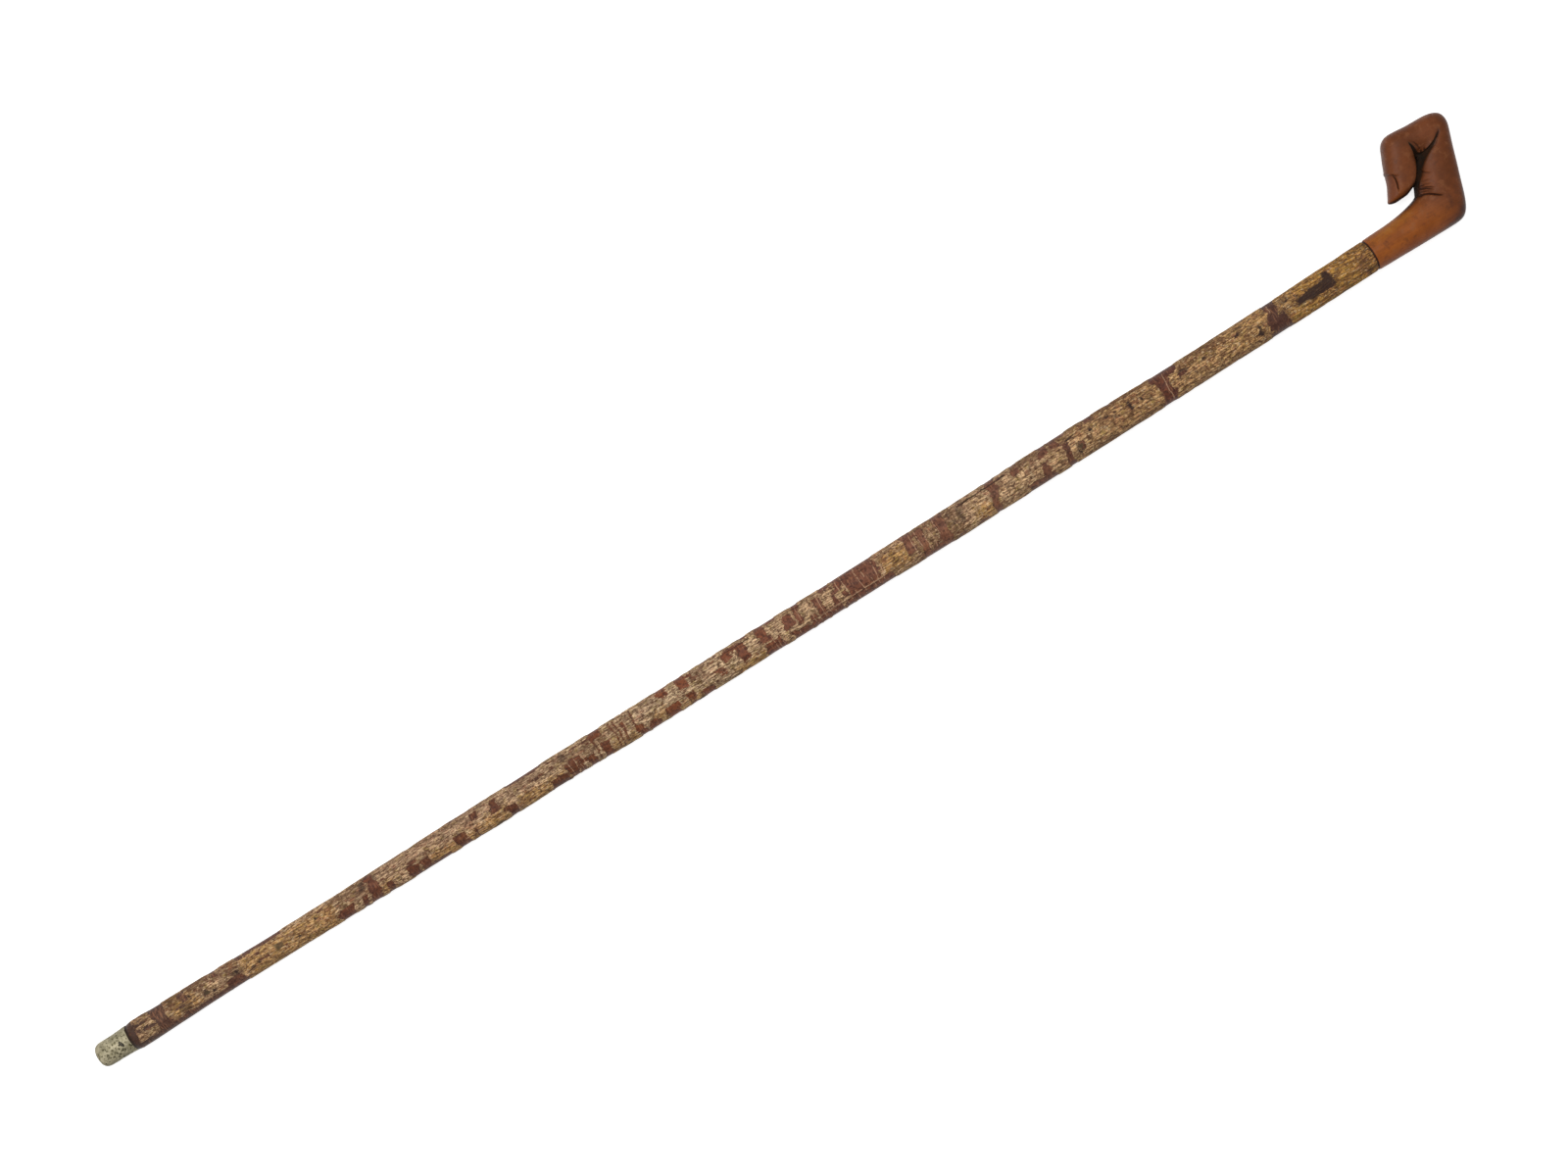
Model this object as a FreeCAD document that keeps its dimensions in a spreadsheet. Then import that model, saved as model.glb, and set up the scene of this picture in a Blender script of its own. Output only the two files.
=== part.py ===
import FreeCAD, Part
import math
import os

import Sketcher
from FreeCAD import Placement, Rotation, Vector

# Carved walking stick lying on its side: +X runs along the shaft from the foot to the handle, +Y lies in
# the plane of the crook towards the carved fingertip, +Z is up. The sub-parts are first placed with the
# foot at x = 0 and the shaft's axis at y = 0, and then all are moved so that the origin is the middle of
# the surface that the stick lies on.

os.makedirs("parts", exist_ok=True)
doc = FreeCAD.newDocument("walking_stick")

# Driving dimensions in millimetres
SIZES = (
    ("ferrule_length", 20.8, "foot to the mouth of the cup"),
    ("ferrule_foot_radius", 7.1, "outside of the cup's straight wall"),
    ("ferrule_mouth_radius", 7.6, "outside of the cup at its mouth"),
    ("ferrule_grip_length", 8.5, "straight wall of the cup"),
    ("ferrule_rounding", 3.0, "rounded edge of the foot"),
    ("ferrule_wall", 0.9, "wall of the cup"),
    ("ferrule_floor", 2.4, "closed end of the cup"),
    ("heel_rim", 0.6, "flat ring of the cup round the heel"),
    ("heel_thickness", 1.4, "head of the heel"),
    ("heel_stem_radius", 1.6, "stem of the heel"),
    ("heel_stem_depth", 8.0, "stem inside the spigot"),
    ("pin_setback", 4.4, "mouth of the cup to the middle of the pin"),
    ("pin_radius", 0.7, "shank of the pin"),
    ("pin_head_radius", 1.2, "head of the pin"),
    ("pin_depth", 5.0, "shank inside the spigot"),
    ("shaft_length", 802.5, "mouth of the cup to the glue line"),
    ("bark_foot_radius", 8.0, "outside of the bark at the cup"),
    ("bark_thickness", 1.3, "bark left on the wood"),
    ("joint_radius", 9.1, "outside of the stick at the handle joint"),
    ("stick_bow", 1.4, "natural sideways bend"),
    ("stick_swell", 0.33, "natural swelling of the radius"),
    ("glue_thickness", 0.6, "glue line"),
    ("glue_recess", 0.35, "glue line below the surface"),
    ("stud_radius", 4.0, "joining stud"),
    ("stud_in_shaft", 42.0, "stud inside the shaft"),
    ("stud_in_handle", 34.0, "stud inside the handle"),
    ("stud_chamfer", 1.0, "chamfer on the stud's ends"),
    ("bore_relief", 1.0, "air left at the bottom of each blind bore"),
    ("fit_clearance", 0.05, "gap between a round piece and its bore"),
    ("handle_thickness", 21.0, "finger across the crook's plane"),
    ("crook_reach", 74.2, "joint to the far side of the crook"),
    ("crook_rise", 50.9, "shaft's axis to the top of the crook"),
    ("neck_flare", 0.9, "growth of the neck's outer side at the elbow"),
    ("web_rise", 5.1, "growth of the neck's inner side at the fold"),
    ("fold_radius", 1.0, "inside of the curled knuckles"),
    ("web_radius", 3.0, "web of skin inside the fold"),
    ("crease_width", 2.4, "half width of the skin folds at their mouth"),
    ("nail_groove_width", 0.7, "half width of the groove beside the nail"),
)

sheet = doc.addObject("Spreadsheet::Sheet", "Sizes")
for row, (alias, value, meaning) in enumerate(SIZES, start=1):
    sheet.set(f"A{row}", meaning)
    sheet.set(f"B{row}", str(value))
    sheet.setAlias(f"B{row}", alias)
doc.recompute()


def size(alias):
    """A driving dimension, read from the sheet."""
    return float(getattr(sheet, alias))


# Sizes that follow from the others. The bark's lowest rim and the finger both touch the surface, and the
# stick's natural bend carries its axis from one height to the other.
JOINT_RISE = "(Sizes.handle_thickness / 2 - Sizes.bark_foot_radius)"
JOINT_PLACE = "(Sizes.ferrule_length + Sizes.shaft_length + Sizes.glue_thickness)"
HEEL_RADIUS = "(Sizes.ferrule_foot_radius - Sizes.ferrule_rounding - Sizes.heel_rim)"
PIN_PLACE = "(Sizes.ferrule_length - Sizes.pin_setback)"

# The rounded edge of the foot is turned in this many bevels
ROUNDING_STEPS = 4

# Even stations along the shaft: share of the bow, share of the swell
BOW_SHARES = (0, -0.28, -0.75, -0.45, -0.45, -0.95, -0.75, -0.75, -1.0, -0.7, -0.75, -0.43, 0)
SWELL_SHARES = (0, -0.5, -1.0, -0.45, -0.65, -0.33, -0.3, 0.25, 0.65, 0.45, -0.3, -0.4, 0)


def new_body(name):
    return doc.addObject("PartDesign::Body", name)


def add_sketch(body, name, role, offsets=()):
    """A sketch on one of the body's own origin planes, moved off it by the named offsets."""
    sketch = body.newObject("Sketcher::SketchObject", name)
    plane = next(item for item in body.Origin.OriginFeatures if item.Role == role)
    sketch.AttachmentSupport = [(plane, "")]
    sketch.MapMode = "FlatFace"
    for direction, expression in offsets:
        sketch.setExpression(f"AttachmentOffset.Base.{direction}", expression)
    return sketch


def add_circle(sketch, radius, along=None):
    """A circle about the sketch's origin, or that far along its first axis."""
    number = sketch.addGeometry(Part.Circle(Vector(), Vector(0, 0, 1), 1))
    if along:
        sketch.addConstraint(Sketcher.Constraint("PointOnObject", number, 3, -1))
        place = sketch.addConstraint(Sketcher.Constraint("DistanceX", -1, 1, number, 3, 1))
        sketch.setExpression(f"Constraints[{place}]", along)
    else:
        sketch.addConstraint(Sketcher.Constraint("Coincident", number, 3, -1, 1))
    width = sketch.addConstraint(Sketcher.Constraint("Radius", number, 1))
    sketch.setExpression(f"Constraints[{width}]", radius)


def add_outline(sketch, corners):
    """A closed outline of straight lines, each corner held by its own two distances."""
    count = len(corners)
    for index in range(count):
        turn = 2 * math.pi * index / count
        following = 2 * math.pi * (index + 1) / count
        start = Vector(math.cos(turn), math.sin(turn), 0)
        end = Vector(math.cos(following), math.sin(following), 0)
        sketch.addGeometry(Part.LineSegment(start, end))
    for index in range(count):
        sketch.addConstraint(Sketcher.Constraint("Coincident", index, 2, (index + 1) % count, 1))
    for index, corner in enumerate(corners):
        for kind, expression in zip(("DistanceX", "DistanceY"), corner):
            held = sketch.addConstraint(Sketcher.Constraint(kind, -1, 1, index, 1, 1))
            sketch.setExpression(f"Constraints[{held}]", expression)


def add_turned(body, name, sketch, axis):
    """A turned solid: the sketch's outline taken all round one of its axes."""
    turned = body.newObject("PartDesign::Revolution", name)
    turned.Profile = sketch
    turned.ReferenceAxis = (sketch, [axis])
    turned.Angle = 360
    doc.recompute()
    return turned


def add_pad(body, name, sketch, length):
    """A straight solid from the sketch, along its normal."""
    pad = body.newObject("PartDesign::Pad", name)
    pad.Profile = sketch
    pad.setExpression("Length", length)
    doc.recompute()


def add_loft(body, kind, name, sections):
    """A solid or a cut that runs straight from each section sketch to the next."""
    loft = body.newObject(f"PartDesign::{kind}", name)
    loft.Profile = sections[0]
    loft.Sections = sections[1:]
    loft.Ruled = True
    doc.recompute()
    return loft


def add_bore(body, name, sketch, depth, along_normal):
    """A round bore from the sketch, either way along its normal; without a depth it goes through."""
    before = body.Shape.Volume
    bore = body.newObject("PartDesign::Pocket", name)
    bore.Profile = sketch
    bore.Reversed = along_normal
    if depth:
        bore.setExpression("Length", depth)
    else:
        bore.Type = "ThroughAll"
    doc.recompute()
    if body.Shape.Volume >= before:
        raise RuntimeError(f"{name} cuts nothing")
    return bore


def bevel_ends(body, name, width):
    """A chamfer on every round edge of the body's last feature."""
    base = body.Tip
    edges = [f"Edge{number}" for number, edge in enumerate(base.Shape.Edges, start=1) if edge.isClosed()]
    chamfer = body.newObject("PartDesign::Chamfer", name)
    chamfer.Base = (base, edges)
    chamfer.setExpression("Size", width)
    doc.recompute()


def shaft_sections(body, prefix, allowance):
    """Round sections along the natural stick, its radius changed by the allowance."""
    count = len(BOW_SHARES) - 1
    sections = []
    for index, (bow, swell) in enumerate(zip(BOW_SHARES, SWELL_SHARES)):
        part = index / count
        offsets = (
            ("x", f"Sizes.stick_bow * {bow}"),
            ("y", f"{JOINT_RISE} * {part}"),
            ("z", f"Sizes.ferrule_length + Sizes.shaft_length * {part}"),
        )
        radius = (
            f"Sizes.bark_foot_radius * {1 - part} + Sizes.joint_radius * {part}"
            f" + Sizes.stick_swell * {swell} + {allowance}"
        )
        sketch = add_sketch(body, f"{prefix}_{index}", "YZ_Plane", offsets)
        add_circle(sketch, radius)
        sections.append(sketch)
    doc.recompute()
    return sections


def shaft_bark():
    """The ridged bark, a sleeve that follows the stick's bends."""
    body = new_body("shaft_bark")
    add_loft(body, "AdditiveLoft", "bark_outside", shaft_sections(body, "bark_outer", "0"))
    inside = "(Sizes.fit_clearance - Sizes.bark_thickness)"
    add_loft(body, "SubtractiveLoft", "bark_inside", shaft_sections(body, "bark_inner", inside))
    return body


def shaft_wood():
    """The stick's wood: a spigot for the cup, the bent length and the bores for stud, heel and pin."""
    body = new_body("shaft_wood")
    under_bark = "-Sizes.bark_thickness"
    add_loft(body, "AdditiveLoft", "wood_length", shaft_sections(body, "wood", under_bark))
    end_place = "Sizes.ferrule_floor + Sizes.fit_clearance"
    spigot = add_sketch(body, "spigot_end", "YZ_Plane", (("z", end_place),))
    add_circle(spigot, "Sizes.ferrule_foot_radius - Sizes.ferrule_wall - Sizes.fit_clearance")
    add_pad(body, "spigot", spigot, f"Sizes.ferrule_length - ({end_place})")
    stud_mouth = (("y", JOINT_RISE), ("z", f"{JOINT_PLACE} - Sizes.glue_thickness"))
    stud = add_sketch(body, "stud_mouth", "YZ_Plane", stud_mouth)
    add_circle(stud, "Sizes.stud_radius + Sizes.fit_clearance")
    add_bore(body, "stud_bore", stud, "Sizes.stud_in_shaft + Sizes.bore_relief", False)
    heel = add_sketch(body, "heel_mouth", "YZ_Plane", (("z", end_place),))
    add_circle(heel, "Sizes.heel_stem_radius + Sizes.fit_clearance")
    add_bore(body, "heel_bore", heel, "Sizes.heel_stem_depth + Sizes.bore_relief", True)
    spigot_top = "Sizes.ferrule_foot_radius - Sizes.ferrule_wall"
    pin_floor = f"{spigot_top} - Sizes.pin_depth - Sizes.bore_relief"
    pin = add_sketch(body, "pin_floor", "XY_Plane", (("z", pin_floor),))
    add_circle(pin, "Sizes.pin_radius + Sizes.fit_clearance", PIN_PLACE)
    add_bore(body, "pin_bore", pin, None, True)
    return body


def ferrule_cup():
    """The foot cup: straight wall, widening mouth, rounded foot and a recess for the heel."""
    body = new_body("ferrule_cup")
    rounded = []
    for index in range(ROUNDING_STEPS + 1):
        turn = math.pi / 2 * index / ROUNDING_STEPS
        place = f"Sizes.ferrule_rounding * {1 - math.cos(turn)}"
        radius = f"Sizes.ferrule_foot_radius - Sizes.ferrule_rounding * {1 - math.sin(turn)}"
        rounded.append((place, radius))
    floor = "Sizes.ferrule_floor"
    recess = "Sizes.heel_thickness"
    stem = "Sizes.heel_stem_radius + Sizes.fit_clearance"
    head = f"{HEEL_RADIUS} + Sizes.fit_clearance"
    outside = "Sizes.ferrule_foot_radius"
    inside = "Sizes.ferrule_foot_radius - Sizes.ferrule_wall"
    corners = (
        ("0", head),
        *rounded,
        ("Sizes.ferrule_rounding + Sizes.ferrule_grip_length", outside),
        ("Sizes.ferrule_length", "Sizes.ferrule_mouth_radius"),
        ("Sizes.ferrule_length", inside),
        (floor, inside),
        (floor, stem),
        (recess, stem),
        (recess, head),
    )
    profile = add_sketch(body, "cup_profile", "XY_Plane")
    add_outline(profile, corners)
    add_turned(body, "cup_turned", profile, "H_Axis")

    pin = add_sketch(body, "pin_place", "XY_Plane")
    add_circle(pin, "Sizes.pin_head_radius + Sizes.fit_clearance", PIN_PLACE)
    add_bore(body, "pin_hole", pin, None, True)
    return body


def ferrule_heel():
    """The iron heel: a round head flush with the foot and a stem that is driven into the spigot."""
    body = new_body("ferrule_heel")
    stem_end = "Sizes.ferrule_floor + Sizes.heel_stem_depth"
    corners = (
        ("0", "0"),
        ("0", HEEL_RADIUS),
        ("Sizes.heel_thickness", HEEL_RADIUS),
        ("Sizes.heel_thickness", "Sizes.heel_stem_radius"),
        (stem_end, "Sizes.heel_stem_radius"),
        (f"{stem_end} + Sizes.heel_stem_radius / 2", "0"),
    )
    profile = add_sketch(body, "heel_profile", "XY_Plane")
    add_outline(profile, corners)
    add_turned(body, "heel_turned", profile, "H_Axis")
    return body


def ferrule_pin():
    """The pin through the cup's wall: a flat head sunk to the wall and a pointed shank."""
    body = new_body("ferrule_pin")
    under_head = "Sizes.ferrule_foot_radius - Sizes.ferrule_wall + Sizes.fit_clearance"
    tip = "Sizes.ferrule_foot_radius - Sizes.ferrule_wall - Sizes.pin_depth"
    corners = (
        ("0", tip),
        ("Sizes.pin_radius", f"{tip} + Sizes.pin_radius"),
        ("Sizes.pin_radius", under_head),
        ("Sizes.pin_head_radius", under_head),
        ("Sizes.pin_head_radius", "Sizes.ferrule_foot_radius"),
        ("0", "Sizes.ferrule_foot_radius"),
    )
    profile = add_sketch(body, "pin_profile", "XZ_Plane")
    add_outline(profile, corners)
    add_turned(body, "pin_turned", profile, "V_Axis")
    return body


def joining_stud():
    """The steel stud inside the handle joint."""
    body = new_body("joining_stud")
    start = (("y", JOINT_RISE), ("z", f"{JOINT_PLACE} - Sizes.glue_thickness - Sizes.stud_in_shaft"))
    section = add_sketch(body, "stud_section", "YZ_Plane", start)
    add_circle(section, "Sizes.stud_radius")
    length = "Sizes.stud_in_shaft + Sizes.glue_thickness + Sizes.stud_in_handle"
    add_pad(body, "stud_length", section, length)
    bevel_ends(body, "stud_ends", "Sizes.stud_chamfer")
    return body


def joint_glue():
    """The set glue between the shaft and the handle, round the stud."""
    body = new_body("joint_glue")
    start = (("y", JOINT_RISE), ("z", f"{JOINT_PLACE} - Sizes.glue_thickness"))
    section = add_sketch(body, "glue_section", "YZ_Plane", start)
    add_circle(section, "Sizes.joint_radius - Sizes.glue_recess")
    add_circle(section, "Sizes.stud_radius + Sizes.fit_clearance")
    add_pad(body, "glue_layer", section, "Sizes.glue_thickness")
    return body


# The carved finger. Each section stands square on the crook's plane between a point of the outer side and
# a point of the inner side, and is an oval of its own thickness. Points are (along, across) from the
# middle of the joint.

# Neck: outer place, outer growth, inner place, inner growth, thickness growth. Places are shares of the
# reach, growths are shares of the neck's flare, the web's rise and the finger's extra thickness.
NECK_SHARES = (
    (0, 0, 0, 0, 0),
    (0.160, 0.30, 0.155, 0.08, 0.10),
    (0.340, 0.65, 0.310, 0.27, 0.40),
    (0.510, 0.90, 0.435, 0.63, 0.75),
    (0.640, 1.00, 0.500, 1.00, 0.95),
)
# Elbow and first length of the finger: outer point, inner point, thickness, as shares of the reach, the
# rise and the finger's thickness.
FIRST_LENGTH_SHARES = (
    ((0.735, -0.175), (0.528, 0.314), 1.000),
    ((0.800, -0.057), (0.543, 0.354), 1.000),
    ((0.848, 0.132), (0.561, 0.399), 1.000),
    ((0.895, 0.340), (0.601, 0.472), 0.990),
    ((0.939, 0.534), (0.650, 0.570), 0.985),
    ((0.980, 0.697), (0.712, 0.642), 0.990),
)
# Curled knuckles: their sections fan out from the middle of the fold to these outer points
FOLD_SHARES = (0.700, 0.6385)
FIRST_KNUCKLE_SHARES = (
    ((1.000, 0.811), 1.000),
    ((0.982, 0.906), 1.000),
    ((0.933, 0.955), 0.995),
    ((0.867, 0.973), 0.985),
    ((0.782, 0.978), 0.970),
    ((0.700, 0.984), 0.960),
)
SECOND_KNUCKLE_SHARES = (
    ((0.613, 0.998), 0.955),
    ((0.539, 0.996), 0.960),
    ((0.488, 0.949), 0.955),
    ((0.453, 0.861), 0.940),
    ((0.426, 0.768), 0.920),
    ((0.399, 0.672), 0.890),
)
# Last length, with the nail on its outer side and the pad folded against the first length
LAST_LENGTH_SHARES = (
    ((0.380, 0.593), (0.682, 0.558), 0.850),
    ((0.353, 0.503), (0.650, 0.479), 0.790),
    ((0.328, 0.430), (0.604, 0.417), 0.710),
    ((0.311, 0.377), (0.555, 0.381), 0.570),
    ((0.344, 0.348), (0.512, 0.362), 0.300),
)
# Skin folds on both faces: point, height and half width along each, as shares of the reach, the rise,
# half the finger's thickness and the crease's width.
OUTER_FOLD_SHARES = (
    ((0.715, 0.640), 0.62, 1.00),
    ((0.775, 0.668), 0.86, 0.85),
    ((0.838, 0.697), 1.00, 0.60),
    ((0.907, 0.740), 1.03, 0.20),
)
INNER_FOLD_SHARES = (
    ((0.690, 0.650), 0.62, 1.00),
    ((0.680, 0.705), 0.86, 0.80),
    ((0.664, 0.790), 0.97, 0.30),
)
# Groove beside the nail, in the same shares but for the nail groove's width
NAIL_GROOVE_SHARES = (
    ((0.456, 0.630), 0.80, 0.50),
    ((0.445, 0.540), 0.76, 1.00),
    ((0.416, 0.422), 0.66, 1.00),
    ((0.405, 0.370), 0.50, 0.80),
)
# Height of the web of skin inside the fold, as a share of the finger's thickness
WEB_SHARE = 0.33
# A new section is taken where the finger has turned this far, or run this share of its reach. An oval is
# carved in flats, this many all round.
SECTION_TURN = math.radians(10)
SECTION_STEP_SHARE = 0.08
PLACES_TRIED = 400
OVAL_FLATS = 28


def finger_point(shares):
    """A point of the crook's plane, from shares of its reach and rise."""
    return Vector(size("crook_reach") * shares[0], size("crook_rise") * shares[1], 0)


def oval(outer, inner, half_height):
    """An oval between two points of the crook's plane, as high as the finger is thick there."""
    middle = (outer + inner) * 0.5
    wide = (outer - inner) * 0.5
    corners = []
    for index in range(OVAL_FLATS):
        turn = 2 * math.pi * index / OVAL_FLATS
        corners.append(middle + wide * math.cos(turn) + Vector(0, 0, half_height * math.sin(turn)))
    return Part.makePolygon(corners + corners[:1])


def neck_stations():
    """Outer point, inner point and half height along the neck, from the round joint to the elbow."""
    reach = size("crook_reach")
    radius = size("joint_radius")
    extra = size("handle_thickness") / 2 - radius
    for outer_place, outer_growth, inner_place, inner_growth, thickening in NECK_SHARES:
        outer = Vector(reach * outer_place, -radius - size("neck_flare") * outer_growth, 0)
        inner = Vector(reach * inner_place, radius + size("web_rise") * inner_growth, 0)
        yield outer, inner, radius + extra * thickening


def length_stations(table):
    for outer, inner, thickness in table:
        yield finger_point(outer), finger_point(inner), size("handle_thickness") / 2 * thickness


def knuckle_stations(table):
    fold = finger_point(FOLD_SHARES)
    for outer_shares, thickness in table:
        outer = finger_point(outer_shares)
        towards = (outer - fold).normalize()
        inner = fold + towards * size("fold_radius")
        yield outer, inner, size("handle_thickness") / 2 * thickness


def smooth_path(points, places):
    """A smooth curve through the points, each at its own place along the finger."""
    path = Part.BSplineCurve()
    path.interpolate(Points=points, Parameters=places)
    return path


def finger_limbs():
    """The finger's two limbs, which meet on one section in the middle of its curled length."""
    near = [*neck_stations(), *length_stations(FIRST_LENGTH_SHARES)]
    near += knuckle_stations(FIRST_KNUCKLE_SHARES)
    far = [*knuckle_stations(SECOND_KNUCKLE_SHARES), *length_stations(LAST_LENGTH_SHARES)]
    stations = near + far
    places = [0.0]
    for station, following in zip(stations, stations[1:]):
        places.append(places[-1] + (following[0] - station[0]).Length)
    outer_path = smooth_path([outer for outer, inner, height in stations], places)
    inner_path = smooth_path([inner for outer, inner, height in stations], places)
    heights = [Vector(place, height, 0) for place, (outer, inner, height) in zip(places, stations)]
    height_path = smooth_path(heights, places)

    def limb(start, end):
        kept = [start]
        for index in range(1, PLACES_TRIED):
            place = start + (end - start) * index / PLACES_TRIED
            across = outer_path.value(place) - inner_path.value(place)
            kept_across = outer_path.value(kept[-1]) - inner_path.value(kept[-1])
            run = place - kept[-1] > size("crook_reach") * SECTION_STEP_SHARE
            if run or across.getAngle(kept_across) > SECTION_TURN:
                kept.append(place)
        kept.append(end)
        ovals = []
        for place in kept:
            height = height_path.value(place).y
            ovals.append(oval(outer_path.value(place), inner_path.value(place), height))
        return Part.makeLoft(ovals, True, True)

    split = places[len(near) - 1]
    return limb(0, split), limb(split, places[-1])


def vee_cutter(path, widths, face):
    """A V-shaped cutter along a path of points, opening towards the face that it cuts."""
    wires = []
    for index, (point, width) in enumerate(zip(path, widths)):
        along = path[min(index + 1, len(path) - 1)] - path[max(index - 1, 0)]
        side = Vector(-along.y, along.x, 0).normalize() * width
        up = Vector(0, 0, face * width)
        corners = [point + side + up, point - side + up, point - up]
        wires.append(Part.makePolygon(corners + corners[:1]))
    return Part.makeLoft(wires, True, True)


def crease_cutters():
    """The skin folds and the nail grooves, once on each face of the finger."""
    half = size("handle_thickness") / 2
    tables = (
        (OUTER_FOLD_SHARES, "crease_width"),
        (INNER_FOLD_SHARES, "crease_width"),
        (NAIL_GROOVE_SHARES, "nail_groove_width"),
    )
    cutters = []
    for face in (1, -1):
        for table, width_name in tables:
            path = []
            widths = []
            for point, height, width in table:
                path.append(finger_point(point) + Vector(0, 0, face * half * height))
                widths.append(size(width_name) * width)
            cutters.append(vee_cutter(path, widths, face))
    return cutters


def finger_handle():
    """The handle: a finger curled back on itself, carved from one block and bored for the stud."""
    near_limb, far_limb = finger_limbs()
    web_height = size("handle_thickness") * WEB_SHARE
    web_foot = finger_point(FOLD_SHARES) - Vector(0, 0, web_height / 2)
    web = Part.makeCylinder(size("web_radius"), web_height, web_foot)
    finger = near_limb.fuse([far_limb, web])
    bore_radius = size("stud_radius") + size("fit_clearance")
    bore_depth = size("stud_in_handle") + size("bore_relief")
    bore = Part.makeCylinder(bore_radius, bore_depth, Vector(), Vector(1, 0, 0))
    finger = finger.cut([bore] + crease_cutters())
    if len(finger.Solids) != 1:
        raise RuntimeError("the finger isn't one solid")
    feature = doc.addObject("Part::Feature", "finger_handle")
    feature.Shape = finger.Solids[0]
    return feature


foot = Vector(0, 0, size("bark_foot_radius"))
joint_place = size("ferrule_length") + size("shaft_length") + size("glue_thickness")
joint = Vector(joint_place, 0, size("handle_thickness") / 2)

placed = [
    (finger_handle(), joint),
    (joint_glue(), foot),
    (joining_stud(), foot),
    (shaft_wood(), foot),
    (shaft_bark(), foot),
    (ferrule_cup(), foot),
    (ferrule_heel(), foot),
]
pin_place = size("ferrule_length") - size("pin_setback")
placed.append((ferrule_pin(), foot + Vector(pin_place, 0, 0)))
doc.recompute()

box = FreeCAD.BoundBox()
for part, place in placed:
    part.Label = part.Name
    part.Placement = Placement(place, Rotation())
    box.add(part.Shape.optimalBoundingBox(False, False))
middle = Vector(box.Center.x, box.Center.y, 0)
for part, place in placed:
    part.Placement = Placement(place - middle, Rotation())
doc.recompute()

for item in doc.Objects:
    if "Invalid" in item.State or "Error" in item.State:
        raise RuntimeError(f"{item.Name} failed: {item.State}")
for part, place in placed:
    shape = part.Shape
    if shape.isNull() or not shape.isValid() or not shape.Solids:
        raise RuntimeError(f"{part.Label} has no valid shape")
for part, place in placed:
    part.Shape.exportStep(f"parts/{part.Label}.step")
    print(part.Label, len(part.Shape.Solids), round(part.Shape.Volume, 1))
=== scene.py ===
import math

import bmesh
import bpy
import numpy as np
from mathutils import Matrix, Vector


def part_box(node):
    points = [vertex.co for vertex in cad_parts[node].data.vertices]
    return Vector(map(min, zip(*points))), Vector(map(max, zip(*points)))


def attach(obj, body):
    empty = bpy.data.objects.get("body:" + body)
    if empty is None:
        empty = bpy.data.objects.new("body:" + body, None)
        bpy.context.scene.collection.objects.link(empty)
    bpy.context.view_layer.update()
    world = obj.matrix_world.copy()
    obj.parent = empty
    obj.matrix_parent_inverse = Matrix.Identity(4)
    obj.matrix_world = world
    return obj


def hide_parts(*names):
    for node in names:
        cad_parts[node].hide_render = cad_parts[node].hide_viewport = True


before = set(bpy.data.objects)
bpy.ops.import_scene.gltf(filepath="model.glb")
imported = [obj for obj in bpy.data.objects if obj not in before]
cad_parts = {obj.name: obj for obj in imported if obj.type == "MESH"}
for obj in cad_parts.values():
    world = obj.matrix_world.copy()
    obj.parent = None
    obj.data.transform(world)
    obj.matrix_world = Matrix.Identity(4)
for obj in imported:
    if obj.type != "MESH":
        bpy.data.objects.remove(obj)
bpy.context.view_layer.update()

# A carved walking stick lying on a white floor, seen from straight above. Tables of places are in
# millimetres: along the stick from the foot, or from the middle of the handle joint. Meshes are in metres.
MM = 0.001

foot_low, foot_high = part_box("ferrule_cup")
glue_low, glue_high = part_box("joint_glue")
FOOT = (foot_low.x, (foot_low.y + foot_high.y) / 2, (foot_low.z + foot_high.z) / 2)
JOINT = np.array((glue_high.x, (glue_low.y + glue_high.y) / 2, (glue_low.z + glue_high.z) / 2))


# Meshes

def smooth_curve(places, values, wanted):
    """A natural cubic curve through rows of values at their places."""
    shaded_gaps = np.diff(places)
    slopes = np.diff(values, axis=0) / shaded_gaps[:, None]
    count = len(places)
    system = np.eye(count)
    right = np.zeros_like(values)
    for index in range(1, count - 1):
        behind, ahead = shaded_gaps[index - 1 : index + 1]
        system[index, index - 1 : index + 2] = behind, 2 * (behind + ahead), ahead
        right[index] = 6 * (slopes[index] - slopes[index - 1])
    bends = np.linalg.solve(system, right)
    span = np.clip(np.searchsorted(places, wanted) - 1, 0, count - 2)
    shaded_gap = shaded_gaps[span][:, None]
    before = (wanted - places[span])[:, None]
    after = (places[span + 1] - wanted)[:, None]
    curved = (bends[span] * after**3 + bends[span + 1] * before**3) / (6 * shaded_gap)
    straight = (values[span] / shaded_gap - bends[span] * shaded_gap / 6) * after
    return curved + straight + (values[span + 1] / shaded_gap - bends[span + 1] * shaded_gap / 6) * before


def ramp_up(low, high, value):
    """0 up to low, 1 from high on, and smooth between."""
    part = np.clip((value - low) / (high - low), 0, 1)
    return part**2 * (3 - 2 * part)


def hump(away, width):
    """1 in the middle, and fading out past this width."""
    return np.exp(-((away / width) ** 2))


def squared(value, power):
    """A sine or cosine that makes a circle squarer where the power is below 1."""
    return np.sign(value) * abs(value) ** power


def turned_from(degrees, angle):
    """How far round the stick from an angle, -180 to 180 degrees."""
    return (degrees - angle + 180) % 360 - 180


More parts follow.
